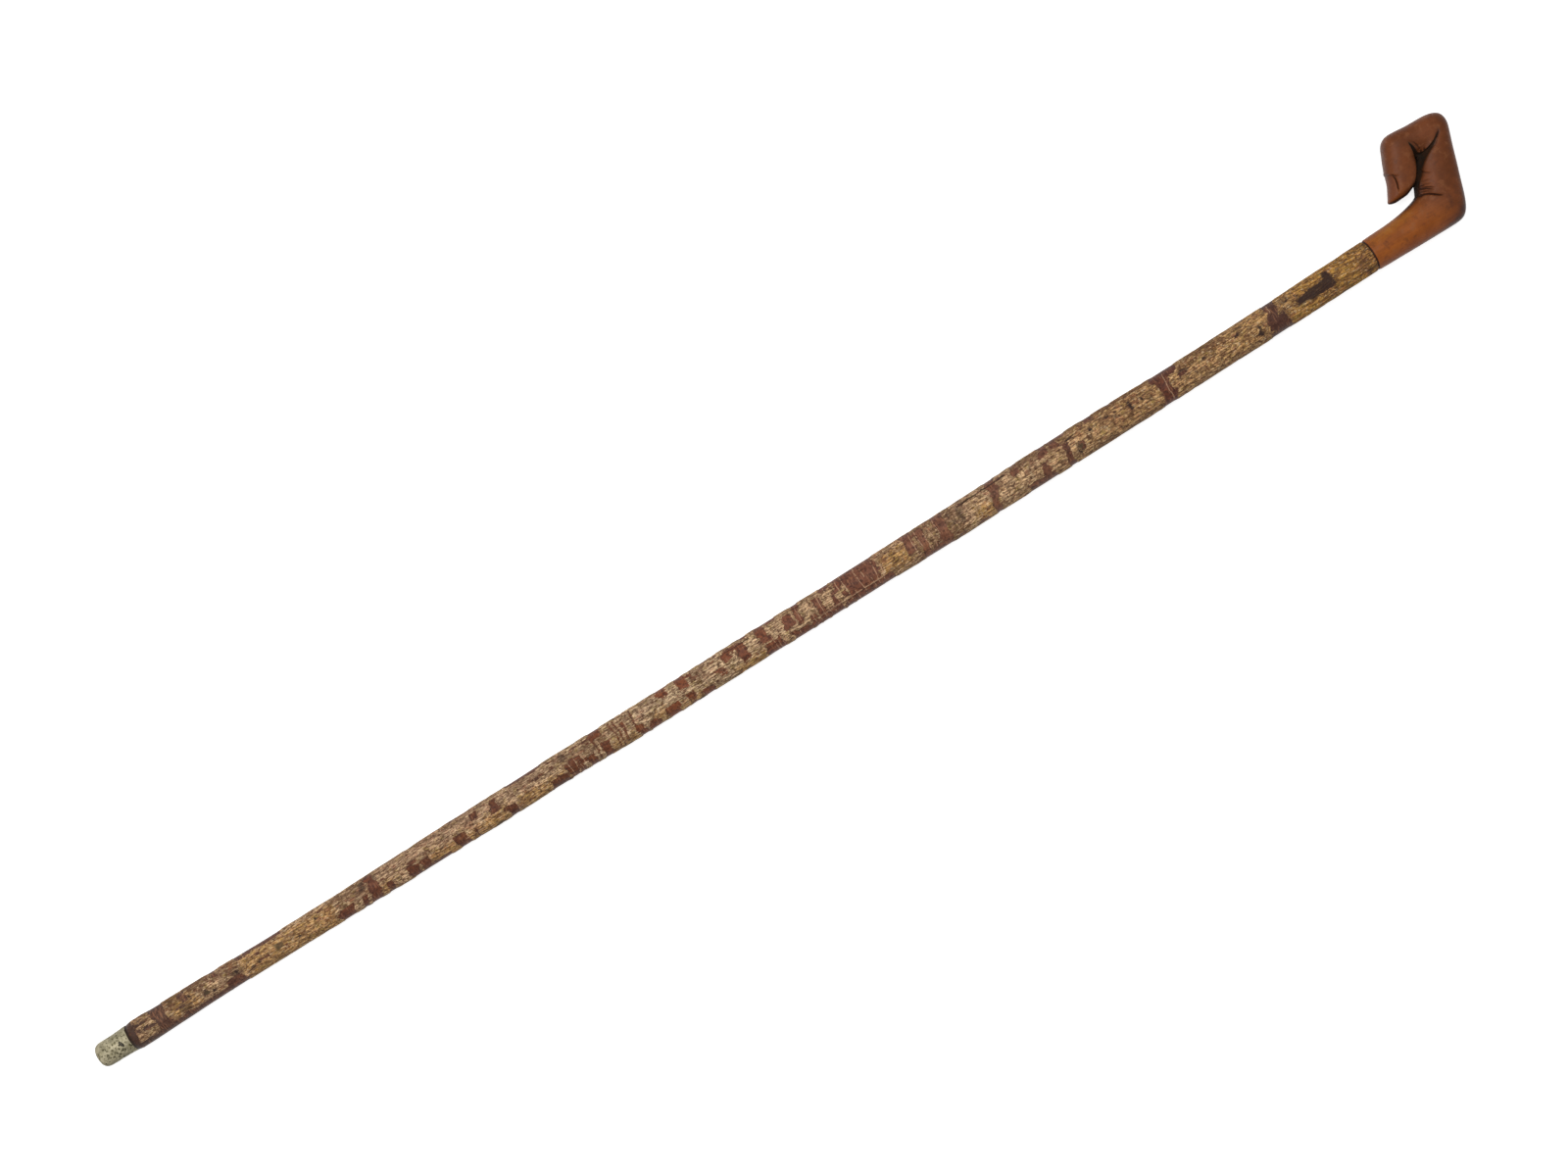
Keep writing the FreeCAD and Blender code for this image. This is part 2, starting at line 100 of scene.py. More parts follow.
def uneven(place, turn, length, cells, seed):
    """Smooth random values from -1 to 1: cells this long along the stick, and this many all round."""
    values = np.random.default_rng(seed).uniform(-1, 1, (int(place.max() / length) + 3, cells))
    row = place / length
    column = turn / (2 * math.pi) % 1 * cells
    first_row, first_column = np.floor(row).astype(int), np.floor(column).astype(int) % cells
    along, across = ramp_up(0, 1, row - np.floor(row)), ramp_up(0, 1, column - np.floor(column))
    next_column = (first_column + 1) % cells
    near = values[first_row, first_column] * (1 - across) + values[first_row, next_column] * across
    far = values[first_row + 1, first_column] * (1 - across) + values[first_row + 1, next_column] * across
    return near * (1 - along) + far * along


def ring_grid(places, around):
    """Place and turn of each point on rings at these places, ring by ring, from the underside round."""
    turns = np.linspace(-math.pi, math.pi, around, endpoint=False)
    return (grid.ravel() for grid in np.meshgrid(places, turns, indexing="ij"))


def new_object(name, data):
    made = bpy.data.objects.new(name, data)
    bpy.context.scene.collection.objects.link(made)
    return made


def mesh_object(name, points, faces):
    mesh = bpy.data.meshes.new(name)
    mesh.from_pydata(points, [], faces)
    return new_object(name, mesh)


def shade_smooth(piece):
    piece.data.polygons.foreach_set("use_smooth", [True] * len(piece.data.polygons))


def read_vectors(items, name):
    flat = np.empty(len(items) * 3, np.float32)
    items.foreach_get(name, flat)
    return flat.reshape(-1, 3).astype(float)


def points_of(mesh):
    return read_vectors(mesh.vertices, "co")


def normals_of(mesh):
    return read_vectors(mesh.vertex_normals, "vector")


def store(mesh, name, values):
    """A value or a vector kept on each point of the mesh, for the materials."""
    kind, field = ("FLOAT", "value") if values.ndim == 1 else ("FLOAT_VECTOR", "vector")
    layer = mesh.attributes.new(name, kind, "POINT")
    layer.data.foreach_set(field, values.astype(np.float32).ravel())


def tube_faces(rings, around, endless=False):
    """Faces between rings of points. An endless tube's last ring joins its first."""
    faces = []
    for ring in range(rings if endless else rings - 1):
        near, far = ring * around, (ring + 1) % rings * around
        for index in range(around):
            following = (index + 1) % around
            faces.append((near + index, far + index, far + following, near + following))
    return faces


def closed_tube(name, rings):
    """A tube through the rings, with a pole at each end."""
    around = len(rings[0])
    points = [tuple(point) for ring in rings for point in ring]
    faces = tube_faces(len(rings), around)
    for ring, flip in ((0, False), (len(rings) - 1, True)):
        pole = len(points)
        points.append(tuple(np.mean(rings[ring], axis=0)))
        for index in range(around):
            pair = (ring * around + index, ring * around + (index + 1) % around)
            faces.append((pole, *(pair[::-1] if flip else pair)))
    return mesh_object(name, points, faces)


def apply_modifiers(piece):
    graph = bpy.context.evaluated_depsgraph_get()
    mesh = bpy.data.meshes.new_from_object(piece.evaluated_get(graph))
    piece.modifiers.clear()
    piece.data = mesh


# Materials

def feed(tree, socket, value):
    """Links another node's output to the socket, or sets a plain value on it."""
    if isinstance(value, bpy.types.NodeSocket):
        tree.links.new(value, socket)
    else:
        socket.default_value = value


def add(tree, kind, inputs=None, **settings):
    """A node with its settings and its inputs."""
    made = tree.nodes.new(kind)
    for name, value in settings.items():
        setattr(made, name, value)
    for socket, value in (inputs or {}).items():
        feed(tree, made.inputs[socket], value)
    return made


def colour(red, green, blue):
    """A colour as it looks on screen, 0 to 255, in the renderer's own linear values."""
    parts = [part / 255 for part in (red, green, blue)]
    return (*(part / 12.92 if part <= 0.04045 else ((part + 0.055) / 1.055) ** 2.4 for part in parts), 1)


def maths(tree, operation, first, second=0.0):
    return add(tree, "ShaderNodeMath", {0: first, 1: second}, operation=operation).outputs[0]


def plus(tree, first, second):
    return maths(tree, "ADD", first, second)


def times(tree, first, second):
    return maths(tree, "MULTIPLY", first, second)


def one_minus(tree, value):
    return maths(tree, "SUBTRACT", 1.0, value)


def blended(tree, factor, first, second):
    return add(tree, "ShaderNodeMix", {0: factor, 6: first, 7: second}, data_type="RGBA").outputs[2]


def spread(tree, value, low, high, new_low=0.0, new_high=1.0):
    inputs = {0: value, 1: low, 2: high, 3: new_low, 4: new_high}
    return add(tree, "ShaderNodeMapRange", inputs, interpolation_type="SMOOTHSTEP").outputs[0]


def layered(tree, base, *layers):
    """Colours over the base. Each row: pattern, where it starts, where it is full, strength, colour."""
    for pattern, low, high, strength, shade in layers:
        base = blended(tree, spread(tree, pattern, low, high, 0.0, strength), base, colour(*shade))
    return base


def noise(tree, vector, scale, detail=2.0, roughness=0.5, seed=0.0):
    inputs = {"Vector": vector, "Scale": scale, "Detail": detail, "Roughness": roughness, "W": seed}
    return add(tree, "ShaderNodeTexNoise", inputs, noise_dimensions="4D").outputs["Fac"]


def long_noise(tree, place, along, across, detail, roughness, seed):
    """A pattern with cells this long along the stick and this wide across it."""
    inputs = {0: place, 1: (1 / along, 1 / across, 1 / across)}
    cells = add(tree, "ShaderNodeVectorMath", inputs, operation="MULTIPLY").outputs[0]
    return noise(tree, cells, 1.0, detail, roughness, seed)


def fine_lines(tree, place, length, pitch, width, seed, on_line, between):
    """Long thin lines that follow the stick, with one value on a line and another between lines."""
    across = maths(tree, "DIVIDE", 1.0, pitch)
    scale = add(tree, "ShaderNodeCombineXYZ", {0: maths(tree, "DIVIDE", 1.0, length), 1: across, 2: across})
    inputs = {0: place, 1: scale.outputs[0]}
    cells = add(tree, "ShaderNodeVectorMath", inputs, operation="MULTIPLY").outputs[0]
    away = maths(tree, "ABSOLUTE", maths(tree, "SUBTRACT", noise(tree, cells, 1.0, 0.6, 0.5, seed), 0.5))
    return spread(tree, away, 0.0, width, on_line, between)


def stops(tree, factor, *rows):
    """A colour ramp. Each row: place, colour."""
    ramp = add(tree, "ShaderNodeValToRGB", {0: factor})
    elements = ramp.color_ramp.elements
    while len(elements) < len(rows):
        elements.new(1.0)
    for element, (place, shade) in zip(elements, rows):
        element.position = place
        element.color = colour(*shade)
    return ramp.outputs[0]


def attribute(tree, name, output="Fac"):
    return add(tree, "ShaderNodeAttribute", attribute_name=name).outputs[output]


def object_place(tree):
    """The place on the object in millimetres."""
    place = add(tree, "ShaderNodeTexCoord").outputs["Object"]
    return add(tree, "ShaderNodeVectorMath", {0: place, 3: 1 / MM}, operation="SCALE").outputs[0]


def new_material(name):
    material = bpy.data.materials.new(name)
    material.use_nodes = True
    return material, material.node_tree


def finished(material, base, roughness, height, depth, strength, specular=0.5, metallic=0.0):
    """The material with its colour, roughness, gloss and a fine relief this deep."""
    tree = material.node_tree
    relief = add(tree, "ShaderNodeBump", {"Height": height, "Distance": depth, "Strength": strength})
    values = {"Base Color": base, "Roughness": roughness, "Normal": relief.outputs["Normal"],
              "Specular IOR Level": specular, "Metallic": metallic}
    for name, value in values.items():
        feed(tree, tree.nodes["Principled BSDF"].inputs[name], value)
    return material


def new_socket(tree, name, kind, value=None, way="INPUT"):
    """A socket of a node group or a geometry tree, with its value where it has one."""
    socket = tree.interface.new_socket(name, in_out=way, socket_type=f"NodeSocket{kind}")
    if value is not None:
        socket.default_value = value
    return socket.identifier


def new_group(name, sizes, masks):
    """A shader group that takes a place and these sizes, and puts out these masks."""
    group = bpy.data.node_groups.new(name, "ShaderNodeTree")
    new_socket(group, "Place", "Vector")
    for size, value in sizes:
        new_socket(group, size, "Float", value)
    for mask in masks:
        new_socket(group, mask, "Float", way="OUTPUT")
    return group, group.nodes.new("NodeGroupInput").outputs, group.nodes.new("NodeGroupOutput").inputs


def grain_group():
    """Long thin lines that follow the stick: 0 on a line, 1 between lines."""
    sizes = (("Length", 25.0), ("Pitch", 0.9), ("Width", 0.12), ("Seed", 0.0))
    group, given, wanted = new_group("grain_lines", sizes, ("Line",))
    line = fine_lines(group, given["Place"], *(given[name] for name, value in sizes), 0.0, 1.0)
    group.links.new(line, wanted["Line"])
    return group


def tarnish_group():
    """Stains and small pits of old metal."""
    group, given, wanted = new_group("tarnish", (("Size", 2.0), ("Seed", 0.0)), ("Stain", "Pits"))
    scale = maths(group, "DIVIDE", 1.0, given["Size"])
    stain = noise(group, given["Place"], scale, 5.0, 0.62, given["Seed"])
    group.links.new(spread(group, stain, 0.36, 0.64), wanted["Stain"])
    pits = noise(group, given["Place"], times(group, scale, 2.6), 3.0, 0.6, given["Seed"])
    group.links.new(spread(group, pits, 0.33, 0.45), wanted["Pits"])
    return group


GRAIN = grain_group()
TARNISH = tarnish_group()


def grain(tree, place, length, pitch, width, seed):
    inputs = {"Place": place, "Length": length, "Pitch": pitch, "Width": width, "Seed": seed}
    return add(tree, "ShaderNodeGroup", inputs, node_tree=GRAIN).outputs["Line"]


def tarnish(tree, place, size, seed):
    inputs = {"Place": place, "Size": size, "Seed": seed}
    return add(tree, "ShaderNodeGroup", inputs, node_tree=TARNISH).outputs


# The carved finger. Each row: outer point, inner point, half thickness, and how square its oval is.

FINGER_NEAR = np.array((
    (0.0, -9.25, 0.0, 9.25, 9.25, 2.0),
    (4.0, -9.45, 4.0, 9.45, 9.4, 2.0),
    (11.9, -9.6, 11.5, 9.6, 9.5, 2.0),
    (25.2, -9.95, 23.0, 10.4, 9.85, 2.1),
    (37.8, -10.15, 32.3, 12.1, 10.2, 2.2),
    (47.4, -10.25, 37.2, 13.9, 10.45, 2.3),
    (54.2, -9.1, 39.2, 15.8, 10.5, 2.35),
    (59.0, -2.9, 40.3, 18.0, 10.5, 2.4),
    (62.5, 6.7, 41.6, 20.3, 10.5, 2.45),
    (66.1, 17.3, 44.6, 24.0, 10.4, 2.5),
    (69.4, 27.2, 47.6, 29.0, 10.35, 2.5),
    (72.35, 35.5, 50.4, 32.5, 10.4, 2.5),
    (73.7, 41.3, 50.6, 32.7, 10.5, 2.5),
    (72.4, 45.9, 50.5, 32.8, 10.5, 2.5),
    (68.8, 48.3, 50.4, 32.9, 10.45, 2.5),
    (64.2, 49.3, 50.2, 33.0, 10.35, 2.5),
    (58.0, 49.6, 50.0, 33.1, 10.2, 2.5),
    (51.9, 49.9, 49.7, 33.1, 10.1, 2.5),
))
FINGER_FAR = np.array((
    (45.6, 50.55, 49.5, 33.1, 10.05, 2.5),
    (40.3, 50.4, 49.3, 33.0, 10.1, 2.5),
    (36.9, 48.1, 49.2, 32.9, 10.05, 2.5),
    (34.5, 43.8, 49.1, 32.8, 9.85, 2.5),
    (32.3, 39.1, 49.0, 32.7, 9.65, 2.45),
    (30.2, 34.2, 48.9, 32.3, 9.35, 2.4),
    (29.4, 32.2, 48.6, 30.6, 9.2, 2.4),
    (28.9, 30.6, 48.2, 28.8, 9.0, 2.4),
    (27.2, 26.4, 46.6, 24.8, 8.6, 2.4),
    (25.1, 22.6, 44.2, 21.6, 8.1, 2.4),
    (23.6, 19.9, 41.2, 20.2, 7.5, 2.4),
    (22.9, 18.8, 39.8, 19.4, 6.5, 2.3),
    (24.3, 17.6, 37.6, 18.4, 4.8, 2.2),
    (27.2, 16.9, 34.4, 17.2, 2.6, 2.0),
))
FINGER_AROUND = 96
FINGER_RING_GAP = 0.8
BORE_RADIUS = 4.05
BORE_DEPTH = 35.0
FINGER_VOXEL = 0.392
# Faces this near a groove, and this level, are split so that the groove is sharp.
FINE_REACH = 0.8
FACE_SLOPE = 0.35
# The web of skin between the finger's lengths: its outline, the height of its faces above the middle, and
# how far its free edge is set back there.
WEB_OUTLINE = (
    (37.5, 13.2), (40.2, 19.3), (42.8, 22.0), (46.0, 26.5), (48.5, 31.0), (49.5, 37.0), (55.0, 38.0),
    (62.0, 36.0), (58.0, 29.0), (52.0, 22.5), (46.0, 15.5), (42.0, 11.5), (38.0, 11.5),
)
WEB_HEIGHT = 6.4
WEB_ROUNDING = 1.6
# Share of that height and share of that setback, from one face to the other.
WEB_LAYERS = ((-1.0, 1.0), (-0.8, 0.4), (-0.45, 0.0), (0.45, 0.0), (0.8, 0.4), (1.0, 1.0))
# The hollow of the folded skin, painted dark as shade: its edges along the pad, the first length and the
# knuckle.
PAD_EDGE = (
    (47.5, 41.7), (47.2, 39.8), (47.3, 37.7), (47.3, 35.2), (47.1, 32.9), (46.5, 30.7), (45.2, 28.2),
    (43.8, 25.8), (42.0, 23.3), (40.0, 21.2), (38.0, 19.9), (36.6, 19.3), (33.2, 12.6),
)
LENGTH_EDGE = (
    (33.2, 12.6), (36.6, 12.6), (38.8, 12.9), (39.5, 15.2), (40.6, 16.8), (41.8, 18.3), (43.5, 19.8),
    (45.3, 21.6), (47.0, 23.7), (48.5, 25.6), (50.0, 27.0), (52.0, 28.5), (54.0, 29.7), (57.0, 31.1),
    (60.0, 33.0), (62.8, 35.3), (65.4, 37.9),
)
KNUCKLE_EDGE = (
    (65.4, 37.9), (62.6, 36.9), (60.1, 35.4), (57.6, 34.2), (55.1, 33.4), (52.6, 33.0), (51.1, 33.2),
    (50.0, 34.1), (49.4, 36.1), (48.8, 38.7), (48.1, 40.6), (47.5, 41.7),
)
# How deep the hollow is along its middle. Each point: place, depth, width.
HOLLOW_DEPTHS = (
    ((47.6, 41.4, 0.1, 1), (48.1, 38.8, 0.9, 1), (48.4, 36.1, 1.6, 1), (49.0, 32.0, 3, 1)),
    ((49.0, 32.0, 3, 1), (53.0, 31.5, 2.4, 1), (57.2, 32.7, 1.6, 1), (61.2, 35.0, 1.0, 1),
     (65.0, 37.7, 0.2, 1)),
    ((49.0, 32.0, 3, 1), (45.6, 25.3, 2.6, 1), (41.4, 20.3, 2.2, 1), (37.3, 15.9, 2, 1)),
)
# Grooves cut in both faces of the finger. Each point: place, depth, half width.
SKIN_WRINKLES = (
    ((37.8, 13.0, 0.4, 0.8), (40.2, 12.7, 0.8, 0.55), (42.6, 11.4, 0.85, 0.48), (45.1, 9.2, 0.85, 0.44),
     (47.2, 7.5, 0.6, 0.42), (48.6, 6.5, 0.1, 0.4)),
    ((38.8, 17.2, 0.3, 0.6), (40.6, 16.1, 0.7, 0.45), (42.8, 14.8, 0.65, 0.4), (44.6, 13.2, 0.45, 0.38),
     (46.0, 11.9, 0.05, 0.36)),
    ((39.6, 17.8, 0.3, 0.45), (42.4, 17.1, 0.5, 0.38), (45.0, 17.2, 0.1, 0.36)),
    ((40.6, 16.8, 0.3, 0.4), (43.4, 15.3, 0.55, 0.38), (45.2, 14.1, 0.45, 0.38), (47.0, 12.4, 0.05, 0.36)),
    ((41.8, 18.4, 0.2, 0.45), (44.4, 16.5, 0.35, 0.38), (46.8, 15.5, 0.05, 0.36)),
    ((39.6, 14.6, 0.3, 0.4), (41.8, 13.8, 0.45, 0.38), (43.8, 12.2, 0.3, 0.36), (45.0, 11.0, 0.05, 0.36)),
    ((43.0, 19.6, 0.2, 0.4), (45.2, 18.6, 0.3, 0.38), (47.4, 18.2, 0.05, 0.36)),
    ((48.8, 41.5, 0.15, 0.5), (50.4, 39.3, 0.4, 0.45), (51.1, 37.0, 0.45, 0.45), (51.6, 35.0, 0.4, 0.45)),
    ((51.8, 33.2, 0.7, 0.45), (52.2, 34.6, 0.1, 0.38)),
    ((53.4, 33.2, 0.7, 0.45), (54.0, 34.8, 0.1, 0.38)),
    ((57.5, 32.0, 0.3, 0.5), (60.4, 32.9, 0.3, 0.5), (62.6, 34.6, 0.1, 0.5)),
    ((62.4, 35.8, 0.5, 0.7), (64.2, 37.2, 0.5, 0.6), (65.2, 38.6, 0.1, 0.6)),
)
NAIL_GROOVES = (
    ((31.9, 32.6, 0.1, 0.7), (31.6, 30.6, 0.6, 0.5), (31.7, 28.2, 1.0, 0.42), (31.2, 25.4, 1.0, 0.42),
     (30.4, 23.2, 0.9, 0.42), (29.7, 21.2, 0.3, 0.4)),
    ((28.0, 31.0, 0.4, 0.8), (29.0, 32.2, 0.4, 0.8), (30.4, 33.2, 0.3, 0.8), (31.9, 32.6, 0.1, 0.7)),
)
NAIL_PLATE = (
    (26.2, 31.4), (29.2, 31.8), (31.2, 31.0), (31.2, 28.2), (30.7, 25.4), (29.9, 23.2), (28.9, 19.4),
    (20.5, 17.5), (22.0, 24.0), (26.2, 31.4),
)
# On the outer side: the cuticle's middle, the way to the fingertip, the curve of the cuticle's line and its
# place, half width and depth.
CUTICLE = (28.8, 31.0)
TIP_WAY = (-0.42, -0.91)
CUTICLE_CURVE = 0.03
CUTICLE_PLACE = 1.8
CUTICLE_WIDTH = 0.5
CUTICLE_DEPTH = 0.4
# The swelling of the skin behind the cuticle: height, distance, half width.
SKIN_SWELLING = (0.25, 1.3, 0.8)
# How deep the nail lies, how soon it is this deep, and where it rises to the tip again.
NAIL_DEPTH = 0.15
NAIL_START = 0.6
NAIL_END = (13, 9)
# Painted shadow with some dark wax under the fingertip, in the form of the grooves.
TIP_SHADE_AND_WAX = ((21.8, 18.6, 1, 0.7), (24.0, 17.8, 1.2, 0.9), (27.5, 17.3, 1.3, 1.1), (30.5, 17.2, 1.3, 1.2),
             (33.5, 17.7, 1.3, 1.1), (36.5, 18.7, 1.2, 1.0), (39.0, 20.0, 1, 0.9))
# Painted shade with some dark wax along the elbow's and the neck's edges and in the creases, and where the
# neck is golden along its upper side, in the same form.
WAX_AND_EDGE_SHADE = (
    ((8.0, -9.6, 0.25, 1.0), (25.0, -10.0, 0.35, 1.1), (40.0, -10.3, 0.7, 1.8), (48.0, -9.8, 1, 3.2),
     (53.6, -8.4, 1, 4.4), (56.4, -5.0, 1, 3.6), (58.4, -1.0, 0.6, 2.0), (60.6, 5.0, 0.3, 1.3)),
    ((49.2, -1.0, 0.3, 1.3), (50.2, 2.5, 0.4, 1.5), (50.4, 5.0, 0.25, 1.5)),
    ((40.0, -6.0, 0.2, 1.6), (47.0, -6.4, 0.4, 1.6)),
    ((28.6, 31.0, 0.7, 1.3), (30.2, 34.0, 0.35, 1.4), (33.4, 41.0, 0.15, 1.2)),
    ((63.0, 37.0, 0.5, 1.2), (64.8, 38.8, 0.4, 1.5)),
    ((38.6, 14.4, 0.9, 2.6), (40.2, 16.6, 0.75, 2.6), (42.4, 19.0, 0.4, 1.8)),
    ((21.0, 10.2, 0.2, 1.1), (27.0, 11.0, 0.6, 1.3), (31.0, 11.8, 0.9, 1.4), (36.0, 13.3, 1, 1.5)),
)
GOLDEN_UPPER_SIDE = (((4.0, 6.0, 0.4, 2.6), (15.0, 7.2, 0.9, 2.8), (27.0, 8.6, 0.6, 2.4)),)


def oval_rings(rows, start_rings=()):
    """Rings of points through rows of the finger's table, in millimetres from the joint."""
    steps = np.hypot(*np.diff(rows[:, :2], axis=0).T)
    places = np.concatenate(((0,), np.cumsum(steps)))
    wanted = np.linspace(0, places[-1], int(places[-1] / FINGER_RING_GAP))
    turn = np.linspace(0, 2 * math.pi, FINGER_AROUND, endpoint=False)
    rings = list(start_rings)
    for row in smooth_curve(places, rows, wanted):
        outer, inner, half, square = row[0:2], row[2:4], row[4], row[5]
        plan = (outer + inner) / 2 + (outer - inner) / 2 * squared(np.cos(turn), 2 / square)[:, None]
        rings.append(np.column_stack((plan, half * squared(np.sin(turn), 2 / square))))
    return rings


def nearest_on(path, points):
    """Distance of each point to a path in the crook's plane, with the path's depth and width there."""
    best = np.full(len(points), np.inf)
    depth = np.zeros(len(points))
    width = np.ones(len(points))
    for start, end in zip(path, path[1:]):
        start, end = np.array(start), np.array(end)
        run = end[:2] - start[:2]
        part = np.clip((points - start[:2]) @ run / (run @ run), 0, 1)
        away = np.hypot(*(points - start[:2] - part[:, None] * run).T)
        closer = away < best
        best = np.where(closer, away, best)
        depth = np.where(closer, start[2] + part * (end[2] - start[2]), depth)
        width = np.where(closer, start[3] + part * (end[3] - start[3]), width)
    return best, depth, width


def carve(points, paths):
    """How deep the grooves along the paths are at each point, and how dark they are, 0 to 1."""
    cut, dark = np.zeros(len(points)), np.zeros(len(points))
    for path in paths:
        away, depth, width = nearest_on(path, points[:, :2])
        share = hump(away, width)
        cut = np.maximum(cut, depth * share)
        dark = np.maximum(dark, share * np.clip(depth, 0, 1))
    return cut, dark


def enclosed(outline, points):
    """Whether each point is inside a closed outline."""
    inside = np.zeros(len(points), bool)
    for (start_x, start_y), (end_x, end_y) in zip(outline, outline[1:] + outline[:1]):
        spans = (start_y > points[:, 1]) != (end_y > points[:, 1])
        rise = np.where(abs(end_y - start_y) < 1e-9, 1e-9, end_y - start_y)
        inside ^= spans & (points[:, 0] < start_x + (end_x - start_x) * (points[:, 1] - start_y) / rise)
    return inside


def flat_path(outline):
    return tuple((x, y, 0, 1) for x, y in outline)


def folded_hollow(points):
    """Depth of the folded skin's hollow at each point of the finger's faces, and its painted shade, with a
    softer painted shade round its edges.
    """
    inside = enclosed(PAD_EDGE + LENGTH_EDGE[1:] + KNUCKLE_EDGE[1:-1], points)
    edges = (PAD_EDGE, LENGTH_EDGE, KNUCKLE_EDGE)
    from_pad, from_length, from_knuckle = (nearest_on(flat_path(edge), points)[0] for edge in edges)
    closest, depth = np.full(len(points), np.inf), np.zeros(len(points))
    for path in HOLLOW_DEPTHS:
        away, path_depth, _ = nearest_on(path, points)
        depth = np.where(away < closest, path_depth, depth)
        closest = np.minimum(closest, away)
    shape = ramp_up(0, 1.0, from_pad) * ramp_up(-0.2, 1.8, from_length) * ramp_up(-0.1, 0.8, from_knuckle)
    dark = ramp_up(-0.4, 0.4, from_pad) * ramp_up(-0.6, 1.3, from_length) * ramp_up(-0.4, 0.4, from_knuckle)
    soft_edge_shade = 0.3 * ramp_up(1.5, 0, np.minimum(from_pad, np.minimum(from_length, from_knuckle)))
    return np.where(inside, depth * shape, 0), np.where(inside, np.maximum(dark, soft_edge_shade), soft_edge_shade)


def split_finely(piece, near):
    """The mesh with its faces split in four where both ends of an edge are marked."""
    grid = bmesh.new()
    grid.from_mesh(piece.data)
    edges = [edge for edge in grid.edges if near[edge.verts[0].index] and near[edge.verts[1].index]]
    bmesh.ops.subdivide_edges(grid, edges=edges, cuts=1, use_grid_fill=True)
    grid.to_mesh(piece.data)
    grid.free()


def nail_side(points, normals):
    """How far the cuticle and the nail stand out on the finger's outer side, and how dark the fold's painted
    shade is.
    """
    towards_tip = (points[:, :2] - CUTICLE) @ TIP_WAY
    past_fold = towards_tip - CUTICLE_CURVE * points[:, 2] ** 2 + CUTICLE_PLACE
    outer = ramp_up(0.15, 0.5, normals[:, :2] @ (TIP_WAY[1], -TIP_WAY[0]))
    shaded_fold = hump(past_fold, CUTICLE_WIDTH) * outer
    height, distance, width = SKIN_SWELLING
    skin = height * hump(past_fold + distance, width) * outer
    nail = NAIL_DEPTH * ramp_up(0, NAIL_START, past_fold) * ramp_up(*NAIL_END, past_fold) * outer
    return skin - nail - CUTICLE_DEPTH * shaded_fold, shaded_fold


def skin_web():
    """A plate with the web's outline, its free edge rounded."""
    rings = []
    for height, back in WEB_LAYERS:
        moved = [(x + WEB_ROUNDING * back, y) for x, y in WEB_OUTLINE[:2]] + list(WEB_OUTLINE[2:])
        rings.append([(x, y, height * WEB_HEIGHT) for x, y in moved])
    return closed_tube("skin_web", rings)


def joined_limbs():
    """The finger's two limbs and its web of skin grown into one skin, in millimetres from the joint."""
    turn = np.linspace(0, 2 * math.pi, FINGER_AROUND, endpoint=False)
    circle = np.column_stack((np.zeros_like(turn), -np.cos(turn), np.sin(turn)))
    bore = [circle * BORE_RADIUS + (place, 0, 0) for place in (BORE_DEPTH, 20.0, 5.0, 0.0)]
    near = closed_tube("near_limb", oval_rings(np.vstack((FINGER_NEAR, FINGER_FAR[:2])), bore))
    far = closed_tube("far_limb", oval_rings(np.vstack((FINGER_NEAR[-2:], FINGER_FAR))))
    points, faces = [], []
    for part in (near, far, skin_web()):
        offset = len(points)
        points += [tuple(vertex.co) for vertex in part.data.vertices]
        faces += [tuple(index + offset for index in face.vertices) for face in part.data.polygons]
        bpy.data.objects.remove(part)
    finger = mesh_object("carved_finger", points, faces)
    remesh = finger.modifiers.new("join_limbs", "REMESH")
    remesh.mode = "VOXEL"
    remesh.voxel_size = FINGER_VOXEL
    relax = finger.modifiers.new("soften", "SMOOTH")
    relax.factor = 0.5
    relax.iterations = 6
    apply_modifiers(finger)
    return finger


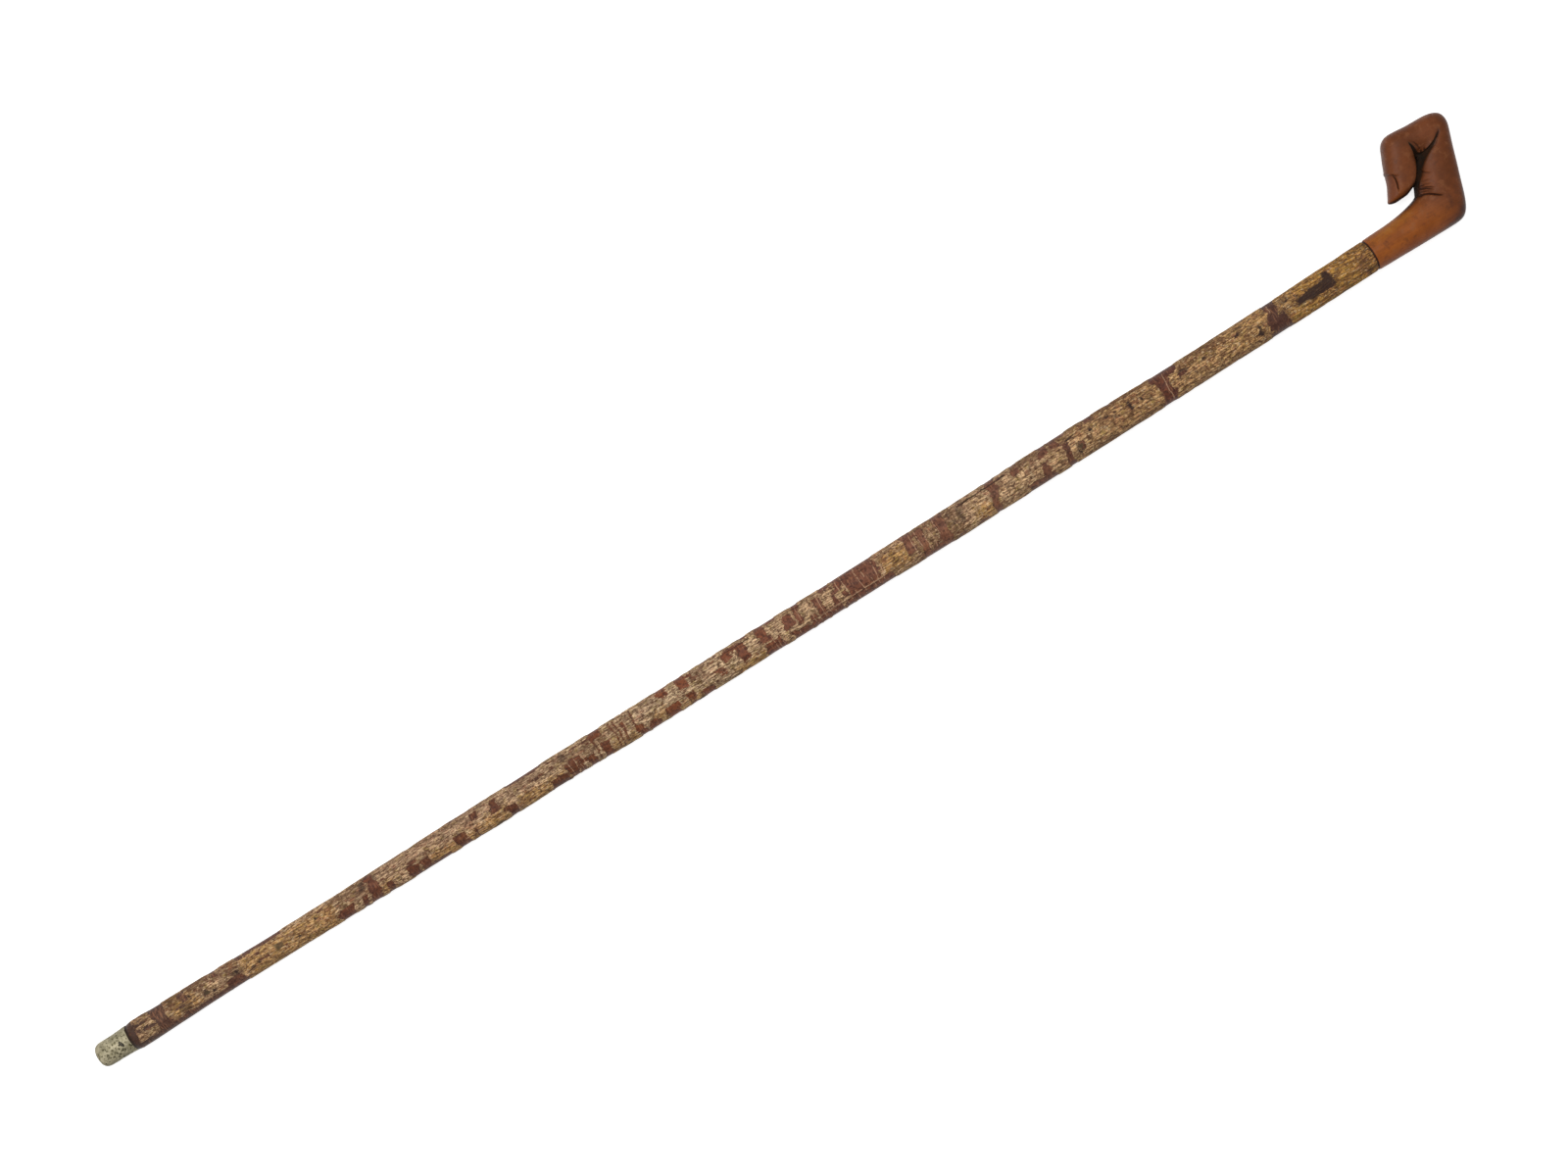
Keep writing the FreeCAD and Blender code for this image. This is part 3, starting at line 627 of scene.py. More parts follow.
def carved_finger():
    """The handle: both faces carved with wrinkles, nail grooves and the hollow of the fold."""
    finger = joined_limbs()
    points = points_of(finger.data)
    near = np.zeros(len(points), bool)
    for path in SKIN_WRINKLES + NAIL_GROOVES + (flat_path(PAD_EDGE[:-1]), flat_path(KNUCKLE_EDGE)):
        near |= nearest_on(path, points[:, :2])[0] < FINE_REACH
    split_finely(finger, near & (abs(normals_of(finger.data)[:, 2]) > FACE_SLOPE))

    mesh = finger.data
    points, normals = points_of(mesh), normals_of(mesh)
    in_bore = (np.hypot(points[:, 1], points[:, 2]) < BORE_RADIUS + 1) & (points[:, 0] < BORE_DEPTH + 2)
    upright = np.where(in_bore, 0, abs(normals[:, 2]))
    on_face = ramp_up(0.2, 0.7, upright)
    hollow, hollow_dark = folded_hollow(points[:, :2])
    wrinkles, wrinkle_dark = carve(points, SKIN_WRINKLES)
    grooves, groove_dark = carve(points, NAIL_GROOVES)
    lines = np.maximum(wrinkles * 1.4, grooves) * on_face
    points[:, 2] -= np.sign(points[:, 2]) * (hollow * ramp_up(0.1, 0.6, upright) + lines)
    stands_out, nail_fold = nail_side(points, normals)
    points += normals * stands_out[:, None]

    # Painted shadow, with some dark wax, under the fingertip, and painted shade in the creases and the
    # cuticle's fold.
    tip_shade = carve(points, (TIP_SHADE_AND_WAX,))[1] * ramp_up(21.0, 19.6, points[:, 1])
    creases = np.maximum(np.minimum(wrinkle_dark * 1.6, 1), groove_dark) * on_face
    nail_edge = nearest_on(flat_path(NAIL_PLATE), points[:, :2])[0]
    nail = np.where(enclosed(NAIL_PLATE, points[:, :2]), nail_edge, 0)
    for name, values in (
        ("shaded_fold", np.where(in_bore, 0, hollow_dark)),
        ("crease_and_tip_shade", np.maximum(np.maximum(creases, tip_shade), 0.6 * nail_fold)),
        ("nail", ramp_up(0, 1.0, nail)),
        ("wax_and_edge_shade", carve(points, WAX_AND_EDGE_SHADE)[1]),
        ("golden_upper_side", carve(points, GOLDEN_UPPER_SIDE)[1]),
        ("finger_place", points),
    ):
        store(mesh, name, values)
    mesh.vertices.foreach_set("co", (points * MM + JOINT).astype(np.float32).ravel())
    mesh.update()
    shade_smooth(finger)
    return finger


def fruitwood():
    """Polished reddish-brown wood with painted shade and some dark wax in the creases and along the elbow's
    and the neck's edges, and a painted pinkish sheen on the neck's lower side.
    """
    material, tree = new_material("carved_fruitwood")
    place = attribute(tree, "finger_place", "Vector")
    along, across = add(tree, "ShaderNodeSeparateXYZ", {0: place}).outputs[:2]
    cloud = noise(tree, place, 0.09, 3.0, 0.55, 3.0)
    mottle = noise(tree, place, 0.5, 4.0, 0.6, 8.0)
    patch = noise(tree, place, 0.24, 4.0, 0.62, 12.0)
    streak = long_noise(tree, place, 14.0, 1.1, 3.0, 0.6, 5.0)
    towards_tip = plus(tree, plus(tree, along, times(tree, across, 0.75)), times(tree, cloud, 14.0))
    clouded = spread(tree, cloud, 0.35, 0.65)
    neck = blended(tree, clouded, colour(132, 70, 26), colour(152, 84, 34))
    flesh = blended(tree, clouded, colour(93, 49, 23), colour(113, 62, 33))
    base = blended(tree, spread(tree, towards_tip, 36.0, 64.0), neck, flesh)
    base = layered(
        tree, base,
        (streak, 0.35, 0.7, 0.3, (90, 48, 26)), (mottle, 0.55, 0.75, 0.45, (94, 46, 30)),
        (patch, 0.52, 0.66, 0.45, (84, 47, 28)), (patch, 0.46, 0.34, 0.4, (134, 84, 52)),
    )
    # Golden along the neck's upper side.
    worn = times(tree, attribute(tree, "golden_upper_side"), spread(tree, mottle, 0.3, 0.7, 0.2, 0.9))
    base = blended(tree, worn, base, colour(164, 106, 42))
    # Painted pinkish sheen along the lower side of the neck and the elbow.
    base = layered(tree, base, (across, -3.0, -8.0, 0.4, (138, 80, 56)))
    # Painted shade with some dark wax along the edges of the elbow and the neck and in the creases.
    wax_and_shade = times(tree, attribute(tree, "wax_and_edge_shade"), spread(tree, mottle, 0.3, 0.65, 1.0, 0.65))
    base = blended(tree, wax_and_shade, base, colour(42, 29, 28))
    base = blended(tree, times(tree, attribute(tree, "nail"), 0.55), base, colour(104, 60, 43))
    shaded_fold, crease_and_tip_shade = attribute(tree, "shaded_fold"), attribute(tree, "crease_and_tip_shade")
    # Painted shade, with some dark wax, in the wrinkles, the nail's grooves and fold, and under the
    # fingertip.
    base = layered(tree, base, (crease_and_tip_shade, 0.15, 0.8, 0.85, (40, 20, 13)))
    # Painted shade in the folded skin's hollow.
    deep = blended(tree, spread(tree, patch, 0.4, 0.6), colour(38, 22, 11), colour(27, 21, 15))
    base = blended(tree, spread(tree, shaded_fold, 0.02, 0.85, 0.0, 0.97), base, deep)
    fine = noise(tree, place, 3.0, 3.0, 0.6, 2.0)
    height = plus(tree, times(tree, streak, 0.5), times(tree, fine, 0.3))
    creased = times(tree, maths(tree, "MAXIMUM", shaded_fold, crease_and_tip_shade), 0.85)
    roughness = maths(tree, "MAXIMUM", spread(tree, mottle, 0.3, 0.7, 0.38, 0.52), creased)
    return finished(material, base, roughness, height, 0.00012, 0.5, specular=0.12)


# The bark. Rows: start and end along the stick, then from and to in degrees round it, 0 at the top and 90
# on the fingertip's side. In these patches the outer layer is worn away.
WORN_PATCHES = (
    (20, 25, -180, 180), (36.5, 43.5, -180, 180), (42, 47, -180, -36), (24, 38, -180, -42),
    (44, 80, -170, -38), (54, 58, 10, 60), (66, 70, -16, 0), (80, 91, -165, -8), (92, 96, 40, 100),
    (103, 109, -16, -4), (154, 162, -150, -12), (168, 172, -150, -12), (173, 180, -150, 75),
    (183, 187, -150, -14), (198, 204, -160, -14), (205.5, 211, -160, -10), (211, 223, -160, -50),
    (228, 235.5, -150, -8), (240.5, 242, -90, -20), (241, 246, 12, 42), (254, 258, -4, 46),
    (262, 267.5, -150, -16), (268, 290, 58, 110), (289, 300, -150, -28), (300, 306, -150, 8),
    (307.5, 311, -150, 8), (314, 318.5, -150, -14), (320.5, 321.4, -60, 60), (321, 328, 25, 110),
    (323.5, 328.5, -150, -5), (333, 333.9, -60, 60), (335.5, 336.4, -70, 60), (338.4, 340, -60, 30),
    (346, 351, -150, -14), (345.5, 346.4, -10, 70), (352.5, 358, -150, -20), (364.5, 372, -150, -20),
    (364, 370, 22, 105), (376, 382, 10, 105), (378, 383, -150, -12), (388, 393, -150, -35),
    (393, 397, 60, 110), (400, 403.5, -26, 0), (405.5, 411.5, 7, 50), (415, 420, -30, 55),
    (420, 424, 60, 110), (428, 440.5, -150, -10), (427.5, 433.5, -60, -4), (428, 434, -20, 180),
    (434, 441, 55, 110), (444, 449.5, -10, 45), (446, 456.5, -150, -30), (450.4, 455, -24, 105),
    (458.5, 463, -150, -6), (463.4, 468.4, -150, 42), (468, 474, -150, -24), (469, 476, 46, 110),
    (473.4, 476.8, -150, 14), (478, 483.2, 32, 110), (477, 484, -150, -40), (480, 483, -20, 6),
    (484, 503.5, -180, 180), (503, 511, -150, -30), (523, 528.6, -18, 80), (530.4, 535.8, -150, 55),
    (534, 548, -150, -46), (542.4, 549, -60, 80), (575.8, 579.8, -180, 14), (577.4, 582.8, -14, 180),
    (594, 598, 20, 105), (598, 606, -150, -42), (603, 616, -150, -38), (610, 614.5, -38, 8),
    (611, 616.5, 25, 105), (617, 622.5, 30, 105), (624.5, 628.5, -180, 20), (622, 628, 60, 105),
    (634, 636.5, -30, 0), (641, 646, 50, 105), (686, 694, -180, 180), (683, 700, 32, 120),
    (699, 704, 8, 20), (757.5, 764.5, -180, 180), (763, 767.5, -75, 8), (754, 758, -150, -45),
)
# Patches shorter than this have less ragged edges.
RAGGED_LENGTH = 6.0
# A worn patch that goes less far round than the span has a twin on the far side, turned and moved this far.
# The twin fades out from one angle to the other, so that it stays off the photographed side.
TWIN_SPAN = 200
TWIN_TURN = 180.0
TWIN_SHIFT = 47.0
TWIN_FADE = 6.0
SEEN_EDGE = (100, 80)
# The tables are read from straight above the stick's middle, so a mark on the top lies nearer the middle.
SIGHT_MIDDLE = 454.8
SIGHT_HEIGHT = 1477.0
# Share of small worn flecks along the stick: place, and how rare they are.
FLECK_RARITY = (
    (20, 0.5), (60, 0.50), (110, 0.66), (180, 0.60), (330, 0.52), (440, 0.42), (520, 0.55), (600, 0.62),
    (660, 0.85), (825, 0.80),
)
# Pale lips of cracks that run round the stick: place along it, from and to in degrees.
PALE_LIPS = (
    (196, -75, -15), (267.9, -60, 60), (303, -80, 4), (306.6, -80, 8), (308.9, -70, -4), (312, -70, 6),
    (322.8, -50, 20), (328.8, -40, 50), (337.4, -60, 8), (340.8, -60, 50), (351.6, -80, 50),
    (391.5, -30, 40), (396, 10, 60), (434.8, -72, 64), (437.2, -70, 20), (439.6, -60, 50), (442.0, -66, 40),
    (449.8, -60, 58), (453.2, -40, 62), (458.2, -10, 50), (461.0, -66, 70), (463.6, -60, 30),
    (466.4, -58, 62), (469.6, -66, 50), (472.2, -60, 70), (476.4, -70, 10), (479.8, -60, 66),
    (483.4, -50, 62), (487.2, -70, -14), (491.8, -66, 66), (495.4, 4, 44), (498, -64, -8), (501.4, -72, 60),
    (505.0, -50, 40), (527.5, -36, 60), (531.2, -20, 66), (535, -50, 30), (538.6, -50, 60), (543, -10, 60),
    (554, -30, 30), (563.2, -60, 60), (566.4, -40, 50), (691.2, -60, 60), (760.2, 20, 62),
)
# Slivers lifted off the bark, each with a gap beside it painted dark as shadow: start, end, degrees, lift.
SLIVERS = (
    (557, 592, 50, 0.75), (405, 426, 47, 0.35), (446, 461, 58, 0.35), (449, 506, -33, 0.25),
    (626, 637, 33, 0.3), (515, 540, -38, 0.25), (700, 708, 14, 0.3), (262, 300, 20, 0.2),
)
# Knots: place, degrees, radius.
KNOTS = (
    (679.6, -2, 1.3), (115, 0, 2.6), (69, -8, 1.6), (634.6, -14, 1.2), (255, -74, 3.2), (385, -80, 3.0),
    (720, 158, 2.4), (352, 172, 2.8), (560, 150, 2.0),
)
# Pale scratches along the bark: start, end, degrees.
SCRATCHES = ((449, 506, -33), (468, 482, -30), (396, 408, -20), (232, 250, -40))
# Soft colours of the outer layer and its dark stains, placed as the worn patches are.
GOLDEN_PLACES = (
    (47, 64, -30, 60), (92, 152, -70, 45), (176, 187, -60, -12), (212, 262, -70, -14), (247, 262, -75, -4),
    (270, 300, -70, -8), (328, 346, -70, -20), (356, 366, -60, -8), (372, 392, -70, -35),
    (408, 428, -80, -30), (506, 524, -35, 35), (566, 580, -60, 0), (768, 790, -80, -18), (778, 816, 6, 80),
    (798, 816, -80, 20),
)
GREY_PLACES = (
    (60, 92, 25, 80), (166, 183, -4, 80), (186, 264, 6, 85), (264, 300, 12, 85), (346, 364, 6, 80),
    (383, 398, 12, 80), (541, 563, -10, 80), (560, 600, 40, 85), (600, 612, 4, 70), (696, 756, -85, -45),
    (640, 684, -85, -50),
)
BROWN_PLACES = (
    (20, 25, -180, 180), (35, 47, -180, 180), (45, 62, -90, -34), (26, 78, 22, 100), (80, 92, -10, 60),
    (152, 176, -6, 70), (300, 345, -8, 50), (383, 394, -4, 45), (596, 640, 30, 85), (640, 690, 46, 90),
    (702, 730, 20, 85), (814, 820, -40, 20), (524, 556, -70, 80),
)
STAINS = (
    (782, 799.5, -19, 21), (775, 787, -12, 13), (794, 799.5, -18, 48), (750.8, 752.0, -34, 10),
    (632.6, 634.2, -50, 2), (667.4, 668.8, -6, 30), (626, 633, 24, 32), (640.5, 643, 8, 22),
    (66.5, 69.5, -12, 10), (71, 73.5, -22, -6), (96, 99, -26, -12), (101.5, 103, -20, -6),
    (86.5, 88.5, -12, 8), (633.8, 636, -34, -14), (652, 655, 18, 27), (657.5, 660.5, 15, 24),
    (674.2, 676.0, 6, 18), (699.5, 706, 17, 25), (736, 740, 14, 27), (749, 751, -28, -14),
    (771, 773.5, 26, 34), (776, 778.5, 26, 34), (715, 717, 10, 22), (126, 128.5, -16, -4),
    (139, 141, 12, 24), (58.5, 60.5, 14, 28),
)
FAINT_STAINS = (
    (84, 90, -10, 12), (816, 824, -52, -36), (400, 403, -22, -4), (174, 181, 16, 60), (168, 172, 10, 50),
    (738, 742.5, 20, 50), (766, 774, 26, 50), (300, 304, 20, 60), (556.6, 560, -20, 50), (550, 552, 20, 40),
    (553, 555, -12, 12), (50, 58, -30, 10), (47, 50, 20, 60),
)
# Each colour's attribute, its places and how soft their edges are.
SOFT_COLOURS = (
    ("golden", GOLDEN_PLACES, 4.0), ("grey", GREY_PLACES, 3.0), ("brown", BROWN_PLACES, 3.0),
    ("stain", STAINS, 1.0), ("faint_stain", FAINT_STAINS, 1.6),
)
# Rings of the mesh: points on each, their usual and least distance, and the least at a crack, at the edge of
# a patch and at the middle of a stain shorter than a small mark.
BARK_AROUND = 158
BARK_STEP = 2.4
BARK_STEP_LEAST = 0.9
BARK_MARK_LEAST = 0.3
SMALL_MARK = 4.0
LIP_REACH = 0.4
EDGE_REACH = 0.35
# Half widths of a crack's lip, a scratch and the shaded gap beside a sliver.
LIP_WIDTH = 0.3
SCRATCH_WIDTH = 0.42
SHADED_GAP_WIDTH = 0.32
# The bark's inside, its mean outside and the thickness of its outer layer.
BARK_WALL = 1.25
BARK_MEAN_RADIUS = 8.6
OUTER_LAYER = 0.34
RIDGE_LENGTH = 8.0
RIDGE_PITCH = 1.25
RIDGE_WIDTH = 0.13
RIDGE_DEPTH = 0.24
RIDGE_SEED = 4.0
# The bark's colours change along this length of the stick.
COLOUR_LENGTH = 825.0
# Small bends of the stick: place, sideways shift towards the fingertip, extra radius.
STICK_BENDS = (
    (0, 0, 0), (22, -0.12, 0.28), (44, 0.02, 0), (224, -0.1, 0), (324, -0.07, 0.12), (424, -0.23, 0.15),
    (524, -0.46, 0.02), (624, -0.03, 0.4), (724, -0.2, 0.16), (774, -0.16, 0.1), (815, 0, 0),
)


def stick_stations():
    """Place, middle and radius of the bark at each section of its CAD sleeve, in metres."""
    points = points_of(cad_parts["shaft_bark"].data)
    rows = []
    for place in np.unique(points[:, 0].round(4)):
        ring = points[abs(points[:, 0] - place) < 1e-4]
        low, high = ring.min(axis=0), ring.max(axis=0)
        if len(ring) > 8:
            rows.append((place, (low[1] + high[1]) / 2, (low[2] + high[2]) / 2, (high[1] - low[1]) / 2))
    return np.array(rows).T


def patch_distance(place, degrees, patch):
    """Distance in millimetres outside a patch's edge, negative inside it."""
    start, end, low, high = patch
    along = abs(place - (start + end) / 2) - (end - start) / 2
    if high - low >= 360:
        return along
    turned = abs(turned_from(degrees, (low + high) / 2))
    across = np.radians(turned - (high - low) / 2) * BARK_MEAN_RADIUS
    outside = np.hypot(np.maximum(along, 0), np.maximum(across, 0))
    return np.where((along < 0) & (across < 0), np.maximum(along, across), outside)


def soft_places(place, degrees, patches, softness):
    """How much each point is in soft-edged patches, 0 to 1."""
    nearest = np.full(len(place), np.inf)
    for patch in patches:
        nearest = np.minimum(nearest, patch_distance(place, degrees, patch))
    return ramp_up(softness, -softness, nearest)


def bark_places(first, last):
    """Places of the bark's rings: at marks and edges first, and evenly between them."""
    marks = [place for place, low, high in PALE_LIPS]
    marks += [place + step for place, low, high in PALE_LIPS for step in (-LIP_REACH, LIP_REACH)]
    marks += [edge + step for row in WORN_PATCHES for edge in row[:2] for step in (-EDGE_REACH, EDGE_REACH)]
    marks += [(start + end) / 2 for start, end, low, high in STAINS if end - start < SMALL_MARK]
    kept = [first, last]
    even = np.arange(first, last, BARK_STEP)
    for places, least in ((marks, BARK_MARK_LEAST), (even, BARK_STEP_LEAST)):
        for place in places:
            if first < place < last and min(abs(place - other) for other in kept) >= least:
                kept.append(place)
    return np.array(sorted(kept))


def worn_edges(drawn, turn):
    """How far each point is inside the outer layer, negative where it is worn away."""
    degrees = np.degrees(turn)
    seen = ramp_up(*SEEN_EDGE, abs(degrees)) * TWIN_FADE
    ragged = 1.25 * uneven(drawn, turn, 4.5, 13, 11) + 0.6 * uneven(drawn, turn, 2.4, 40, 12)
    worn = np.full(len(drawn), np.inf)
    for start, end, low, high in WORN_PATCHES:
        torn = ragged * min(1, (end - start) / RAGGED_LENGTH)
        worn = np.minimum(worn, patch_distance(drawn, degrees, (start, end, low, high)) + torn)
        if high - low < TWIN_SPAN:
            twin = (start + TWIN_SHIFT, end + TWIN_SHIFT, low + TWIN_TURN, high + TWIN_TURN)
            worn = np.minimum(worn, patch_distance(drawn, degrees, twin) + seen + torn)
    flecks = uneven(drawn, turn, 8.0, 16, 13) * 0.6 + uneven(drawn, turn, 3.5, 36, 14) * 0.5
    return np.minimum(worn, (np.interp(drawn, *zip(*FLECK_RARITY)) - flecks) * 3.0)


def from_line(drawn, turn, line, wander, seed):
    """Distance across the bark from a wandering line along it, and 1 between the line's ends."""
    start, end, centre = line
    bend = centre + 3 * uneven(drawn, turn * 0, wander, 3, seed)
    between = ramp_up(start, start + 3, drawn) * ramp_up(end, end - 3, drawn)
    return np.radians(np.degrees(turn) - bend) * BARK_MEAN_RADIUS, between


def lips_and_scratches(drawn, turn):
    """How pale each point is on the lip of a crack or on a scratch."""
    degrees = np.degrees(turn)
    lips = np.zeros(len(drawn))
    for centre, low, high in PALE_LIPS:
        between = ramp_up(-6, 6, degrees - low) * ramp_up(-6, 6, high - degrees)
        lips = np.maximum(lips, hump(drawn - centre, LIP_WIDTH) * between)
    for scratch in SCRATCHES:
        away, between = from_line(drawn, turn, scratch, 14.0, int(scratch[0]) + 1)
        lips = np.maximum(lips, 1.2 * hump(away, SCRATCH_WIDTH) * between)
    return lips


def slivers_and_shaded_gaps(drawn, turn):
    """How far the slivers lift, and how dark the painted shadow in the gaps beside them is."""
    lift, shaded_gaps = np.zeros(len(drawn)), np.zeros(len(drawn))
    for *line, height in SLIVERS:
        away, between = from_line(drawn, turn, line, 12.0, int(line[0]))
        lift += height * between * ramp_up(-0.2, 0.1, away) * ramp_up(1.4, 0.2, away)
        shaded_gaps = np.maximum(shaded_gaps, between * hump(away + 0.35, SHADED_GAP_WIDTH) * min(1, height * 2.5))
    return lift, shaded_gaps


def knots_and_swelling(drawn, turn):
    """How much each point is on a knot, and how far the bark swells round it."""
    knots, swelling = np.zeros(len(drawn)), np.zeros(len(drawn))
    for centre, angle, size in KNOTS:
        across = np.radians(turned_from(np.degrees(turn), angle)) * BARK_MEAN_RADIUS
        away = np.hypot(drawn - centre, across)
        knots = np.maximum(knots, ramp_up(size * 1.2, size * 0.7, away))
        swelling += 0.3 * hump(away, size * 1.8) - 0.35 * hump(away, size * 0.6)
    return knots, swelling


def round_stick(place, turn, middle_y, middle_z, radius):
    """Points round the stick's middle: the place in millimetres from the foot, the rest in metres."""
    sideways, upwards = middle_y + radius * np.sin(turn), middle_z + radius * np.cos(turn)
    return np.column_stack((FOOT[0] + place * MM, sideways, upwards))


def ridged_bark():
    """The bark: its worn outer layer, slivers, knots and cracks outside, a plain bore inside."""
    place_m, middle_y, middle_z, radius_m = stick_stations()
    sections = (place_m - FOOT[0]) / MM
    first, last = sections[0], sections[-1]
    drawn, turn = ring_grid(bark_places(first, last), BARK_AROUND)
    from_end = np.minimum(drawn - first, last - drawn)
    peel = worn_edges(drawn, turn)
    lips = lips_and_scratches(drawn, turn)
    lift, shaded_gaps = slivers_and_shaded_gaps(drawn, turn)
    # Painted shade at the bark's two ends, at the cup's mouth and at the joint.
    shaded_gaps = np.maximum(shaded_gaps, ramp_up(0.9, 0.2, drawn - first) + ramp_up(0.5, 0.1, last - drawn) * 0.7)
    knots, swelling = knots_and_swelling(drawn, turn)
    wave = 0.8 * uneven(drawn, turn, 9.0, 9, 15) + 0.35 * uneven(drawn, turn, 4.5, 24, 16)
    wave += 1.5 * uneven(drawn, turn * 0, 21.0, 3, 17) * np.sin(turn)
    sight = (SIGHT_MIDDLE - drawn) * np.maximum(np.cos(turn), 0) * BARK_MEAN_RADIUS / SIGHT_HEIGHT
    place = drawn + (wave + sight) * ramp_up(0, 12, from_end)

    lumps = 0.16 * uneven(place, turn, 34.0, 5, 21) + 0.09 * uneven(place, turn, 11.0, 9, 22)
    height = OUTER_LAYER * (ramp_up(-0.3, 0.6, peel) - 1) + lumps + swelling + lift - 0.4 * shaded_gaps
    height += 0.16 * lips * ramp_up(0.6, -0.3, peel)
    height += 0.25 * ramp_up(4, 0, drawn - first) - 0.4 * (1 - ramp_up(0, 0.8, from_end))
    bends = np.array(STICK_BENDS)
    shift, thicker = smooth_curve(bends[:, 0], bends[:, 1:], place).T
    centre_y = np.interp(place, sections, middle_y) + shift * MM
    centre_z = np.interp(place, sections, middle_z)
    radius = np.interp(place, sections, radius_m) + (height + thicker) * MM
    outside = round_stick(place, turn, centre_y, centre_z, radius)
    inner_place, inner_turn = ring_grid(np.linspace(last, first, len(sections)), BARK_AROUND)
    rows = (middle_y, middle_z, radius_m)
    centre_y, centre_z, radius = (np.interp(inner_place, sections, row) for row in rows)
    inside = round_stick(inner_place, inner_turn, centre_y, centre_z, radius - BARK_WALL * MM)
    points = np.vstack((outside, inside))
    faces = tube_faces(len(points) // BARK_AROUND, BARK_AROUND, endless=True)
    bark = mesh_object("ridged_bark", [tuple(point) for point in points], faces)

    pattern = np.column_stack((place, BARK_MEAN_RADIUS * np.sin(turn), BARK_MEAN_RADIUS * np.cos(turn)))
    store(bark.data, "bark_place", np.vstack((pattern, np.zeros_like(inside))))
    store(bark.data, "peel", np.concatenate((peel, np.full(len(inside), -2.0))))
    ridged = ramp_up(-0.2, 0.7, peel) * ramp_up(0, 1.2, from_end)
    marks = [("lip", lips), ("shaded_gap", shaded_gaps), ("knot", knots), ("ridged", ridged)]
    for name, patches, softness in SOFT_COLOURS:
        marks.append((name, soft_places(drawn, np.degrees(turn), patches, softness)))
    for name, values in marks:
        store(bark.data, name, np.concatenate((values, np.zeros(len(inside)))))
    shade_smooth(bark)
    raise_ridges(bark)
    return bark


def raise_ridges(bark):
    """Ridges along the bark from a geometry tree: fine lines sunk between them."""
    tree = bpy.data.node_groups.new("bark_ridges", "GeometryNodeTree")
    for way in ("INPUT", "OUTPUT"):
        new_socket(tree, "Geometry", "Geometry", way=way)
    settings = {}
    for name, value in (
        ("Ridge length", RIDGE_LENGTH), ("Ridge pitch", RIDGE_PITCH), ("Line width", RIDGE_WIDTH),
        ("Ridge depth", RIDGE_DEPTH), ("Seed", RIDGE_SEED),
    ):
        settings[new_socket(tree, name, "Float", value)] = value
    settings[new_socket(tree, "Material", "Material")] = bark_material()

    geometry, length, pitch, width, depth, seed, finish = tree.nodes.new("NodeGroupInput").outputs[:7]
    place = add(tree, "GeometryNodeInputNamedAttribute", {"Name": "bark_place"}, data_type="FLOAT_VECTOR")
    ridged = add(tree, "GeometryNodeInputNamedAttribute", {"Name": "ridged"}, data_type="FLOAT")
    sunk = fine_lines(tree, place.outputs[0], length, pitch, width, seed, -1.0, 0.0)
    sunk = times(tree, times(tree, times(tree, sunk, ridged.outputs[0]), depth), MM)
    normal = tree.nodes.new("GeometryNodeInputNormal").outputs[0]
    offset = add(tree, "ShaderNodeVectorMath", {0: normal, 3: sunk}, operation="SCALE").outputs[0]
    moved = add(tree, "GeometryNodeSetPosition", {"Geometry": geometry, "Offset": offset})
    real = add(tree, "GeometryNodeRealizeInstances", {"Geometry": moved.outputs[0]})
    dressed = add(tree, "GeometryNodeSetMaterial", {"Geometry": real.outputs[0], "Material": finish})
    add(tree, "NodeGroupOutput", {"Geometry": dressed.outputs[0]})
    modifier = bark.modifiers.new("ridges", "NODES")
    modifier.node_group = tree
    for identifier, value in settings.items():
        modifier[identifier] = value
    apply_modifiers(bark)


